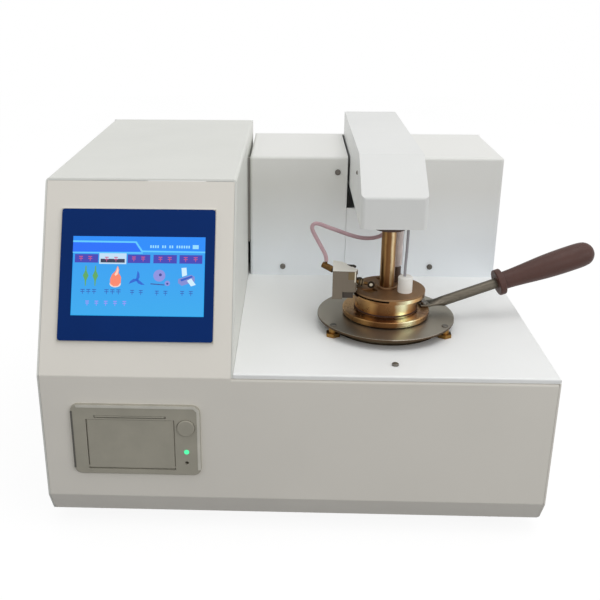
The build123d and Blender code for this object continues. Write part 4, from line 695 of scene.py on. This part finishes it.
# Round the lid and its column.
HEAD_FRAME = at(*HEAD, 0)
SKIRT_RADIUS, SKIRT_FOOT = 28.3, 168.0
# A dark ring at the skirt's foot: painted shade in the groove between lid and cup.
built("lid_groove_shade", sleeve(SKIRT_RADIUS, SKIRT_RADIUS + 0.6, SKIRT_FOOT, SKIRT_FOOT + 1.4),
      HEAD_FRAME, umber, "cup")
FLANGE_FOOT = [(36.5, -1.2), (38.2, -1.2), (38.8, -0.7), (38.8, 0.1), (36.5, 0.1)]
built("flange_foot", lathe([(r, FLANGE_BOTTOM + z) for r, z in FLANGE_FOOT], 96), HEAD_FRAME,
      cup_brass, "cup")
SLEEVE_AXIS, SLEEVE_BORE, SLEEVE_RADIUS = (92.6, -57.2, 0), 3.2, 4.1
built("detector_sleeve",
      sleeve(SLEEVE_BORE, SLEEVE_RADIUS, LEAD_START_Z + 1.5, ARM_BOTTOM - 0.3),
      at(*SLEEVE_AXIS), lead_white, "lift_arm")
built("column_shade", sleeve(COLUMN_FLANGE_RADIUS, COLUMN_FLANGE_RADIUS + 0.4, 242.9, 245.6),
      HEAD_FRAME, umber, "lift_arm")

# The igniter: its block's front is at -BLOCK_FRONT in y, and faces the viewer.
IGNITER = at(*IGNITER_PLACE) @ turned(IGNITER_TURN, "Z")
BLOCK_FACE = IGNITER @ FACING_FRONT
# A dark block in the igniter's step: painted shade of the recess.
built("igniter_recess_shade", prisms([rect(-24.3, -4.5, -14.8, 19.5)], -6.4, -0.2, 0.3), IGNITER,
      recess_shade_grey, "lift_arm")
TAB = [(-21, 12.5), (-14.5, 12.5), (-12.5, 9), (-13.2, 7), (-17, 7)]
built("igniter_tab", prisms([TAB], BLOCK_TOP - 1.0, BLOCK_TOP + 0.3, 0.2), IGNITER,
      black_metal, "lift_arm")
built("igniter_window",
      prisms([rect(-19.6, 11.8, -14.0, 19.0)], BLOCK_FRONT, BLOCK_FRONT + 0.3, 0.1),
      BLOCK_FACE, tarnish, "lift_arm")
# A pale strip at the right edge of the block's front: painted highlight.
built("igniter_corner_highlight",
      prisms([rect(-13.9, 9.6, -13.0, 19.5)], BLOCK_FRONT, BLOCK_FRONT + 0.4, 0.1),
      BLOCK_FACE, pale_metal, "lift_arm")
SCREW = IGNITER @ at(-9.2, 11.0, TONGUE_TOP)
COLLAR = [(1.2, 0.0), (2.7, 0.0), (2.7, 2.4), (2.3, 2.8), (1.2, 2.8)]
CAP = [(0.0, 2.8), (3.0, 2.8), (3.0, 4.8), (2.5, 5.4), (1.0, 5.4), (1.0, 4.4), (0.0, 4.4)]
built("igniter_screw_collar", lathe(COLLAR), SCREW, pale_metal, "lift_arm")
built("igniter_screw_cap", lathe(CAP), SCREW, black_metal, "lift_arm")
BARREL = IGNITER @ at(*BURNER) @ turned(NOZZLE_DROOP - 90, "Y")
built("barrel_sleeve", lathe([(2.3, 7.2), (2.6, 7.2), (2.9, 7.8), (2.9, 12.0), (2.3, 12.0)]),
      BARREL, tarnish, "igniter")
for number, rib in enumerate((8.2, 10.6)):
    built(f"barrel_rib_{number}", sleeve(2.9, 3.3, rib, rib + 1.0), BARREL,
          black_metal, "igniter")
MOUTH_FRAME = IGNITER @ at(1.0, 0, 6.2) @ FACING_FRONT
MOUTH = [(1.6, 1.8), (3.1, 1.8), (3.3, 2.0), (3.3, 2.4), (3.0, 2.6), (1.6, 2.6)]
CORE = [(0.0, 1.6), (1.6, 1.6), (1.6, 2.1), (1.2, 2.3), (0.0, 2.3)]
built("burner_mouth", lathe(MOUTH), MOUTH_FRAME, black_metal, "igniter")
# A pale disc inside the black mouth: painted highlight.
built("burner_core_highlight", lathe(CORE), MOUTH_FRAME, pale_metal, "igniter")

# The arm and the housing.
# A steel dot on the arm's glossy left side: painted reflection of the tower's screw.
DOME = [(0.0, 0.0), (1.9, 0.0), (1.9, 0.5), (1.3, 1.1), (0.6, 1.2), (0.6, 0.6), (0.0, 0.6)]
built("arm_side_reflection_dot", lathe(DOME), at(*ARM_SIDE_REFLECTION) @ turned(-90, "Y"),
      screw_steel, "lift_arm")
# A grey strip in the console-tower gap: painted shade of the gap's inner wall.
GAP_STRIP = rect(GAP_LEFT + 0.2, GAP_FRONT + 3, GAP_RIGHT - 0.2, GAP_FRONT + 5)
built("gap_shade_strip", prisms([GAP_STRIP], 187.0, TOWER_TOP - 2, 0.2), WORLD,
      gap_shade_grey, "housing")

PRINTER = at(*PRINTER_CORNER) @ FACING_FRONT
# Pale strips on the frame's top and right edges: painted highlight; a dark strip on its left edge:
# painted shade.
EDGE_HIGHLIGHT_OUTLINE = [
    (5.5, 63.4), (102.7, 63.4), (105.4, 60.7), (105.4, 5.5),
    (107.9, 5.5), (107.9, 61.5), (103.6, 65.8), (4.6, 65.8),
]
EDGE_SHADE_OUTLINE = rect(0.3, 6.0, 1.9, 60.0)
EDGE_THICKNESS = 0.3
built("printer_edge_highlight", prisms([EDGE_HIGHLIGHT_OUTLINE], 0.0, EDGE_THICKNESS), PRINTER,
      edge_highlight_pale, "housing")
built("printer_edge_shade", prisms([EDGE_SHADE_OUTLINE], 0.0, EDGE_THICKNESS), PRINTER,
      edge_shade_dark, "housing")
SLIT_LIP = rect(DOOR_LEFT + 7.6, 54.6, DOOR_RIGHT - 7.6, 55.8)
built("printer_slit_lip", prisms([SLIT_LIP], -0.6, 0.1, 0.1), PRINTER,
      printer_grey, "housing")

SLOPE = Matrix((
    (1, 0, 0, 0), (0, slope_up.y, slope_out.y, 0), (0, slope_up.z, slope_out.z, 0), (0, 0, 0, 1),
))
BEZEL = at(*SLOPE_FOOT) @ SLOPE @ at(BEZEL_LEFT, BEZEL_UP, 0)
RIM, RIM_RISE = 0.7, 1.2
# A pale rim round the bezel: painted highlight along its edges.
built("bezel_edge", prisms([
    rect(-RIM, -RIM, BEZEL_W + RIM, 0), rect(-RIM, BEZEL_H, BEZEL_W + RIM, BEZEL_H + RIM),
    rect(-RIM, 0, 0, BEZEL_H), rect(BEZEL_W, 0, BEZEL_W + RIM, BEZEL_H),
], 0.0, RIM_RISE), BEZEL, edge_highlight_pale, "housing")


# ---------------------------------------------------------------- floor and light
FLOOR_HALF = 2.5  # m
FLOOR_GREY, FLOOR_GLOW = 0.14, 0.9
SKY = 0.68
LAMP_POWER = 5.0  # W


def seen_by_eye(tree):
    """1 where the camera looks, straight or by a mirror or glass, and 0 for bounced light."""
    path = tree.nodes.new("ShaderNodeLightPath")
    found = path.outputs["Is Camera Ray"]
    for ray in ("Is Glossy Ray", "Is Transmission Ray"):
        either = tree.nodes.new("ShaderNodeMath")
        either.operation = "MAXIMUM"
        tree.links.new(found, either.inputs[0])
        tree.links.new(path.outputs[ray], either.inputs[1])
        found = either.outputs[0]
    return found


def floor_look():
    s = Shader("pale_floor", 0.9)
    s.mottled(s.noise(3.0), (FLOOR_GREY,) * 3, 0.97, 1.03)
    s.give(s.bsdf, **{"Specular IOR Level": 0.0, "Emission Color": (1, 1, 1, 1)})
    glow = s.node("ShaderNodeMath", operation="MULTIPLY")
    glow.inputs[1].default_value = FLOOR_GLOW
    s.link(seen_by_eye(s.tree), glow.inputs[0])
    s.link(glow.outputs[0], s.bsdf.inputs["Emission Strength"])
    return s.material


mesh = bmesh.new()
bmesh.ops.create_grid(mesh, x_segments=1, y_segments=1, size=FLOOR_HALF)
mesh_object("floor", mesh, floor_look())

world = bpy.data.worlds.new("world")
bpy.context.scene.world = world
world.use_nodes = True
tree = world.node_tree
background = tree.nodes["Background"]
background.inputs["Color"].default_value = (1, 1, 1, 1)
strength = tree.nodes.new("ShaderNodeMapRange")
strength.inputs["To Min"].default_value = SKY
strength.inputs["To Max"].default_value = 1.0
tree.links.new(seen_by_eye(tree), strength.inputs["Value"])
tree.links.new(strength.outputs["Result"], background.inputs["Strength"])


def lamp(name, place, target, size, power):
    data = bpy.data.lights.new(name, "AREA")
    data.shape = "RECTANGLE"
    data.size, data.size_y = size
    data.energy = power
    made = added(name, data)
    made.location = place
    made.rotation_euler = (Vector(target) - Vector(place)).to_track_quat("-Z", "Y").to_euler()


lamp("ceiling", (0.5, -0.25, 1.7), (0, 0, 0.1), (0.9, 0.8), LAMP_POWER)
lamp("window", (1.3, -1.3, 0.75), (0, 0, 0.2), (1.0, 0.8), LAMP_POWER)
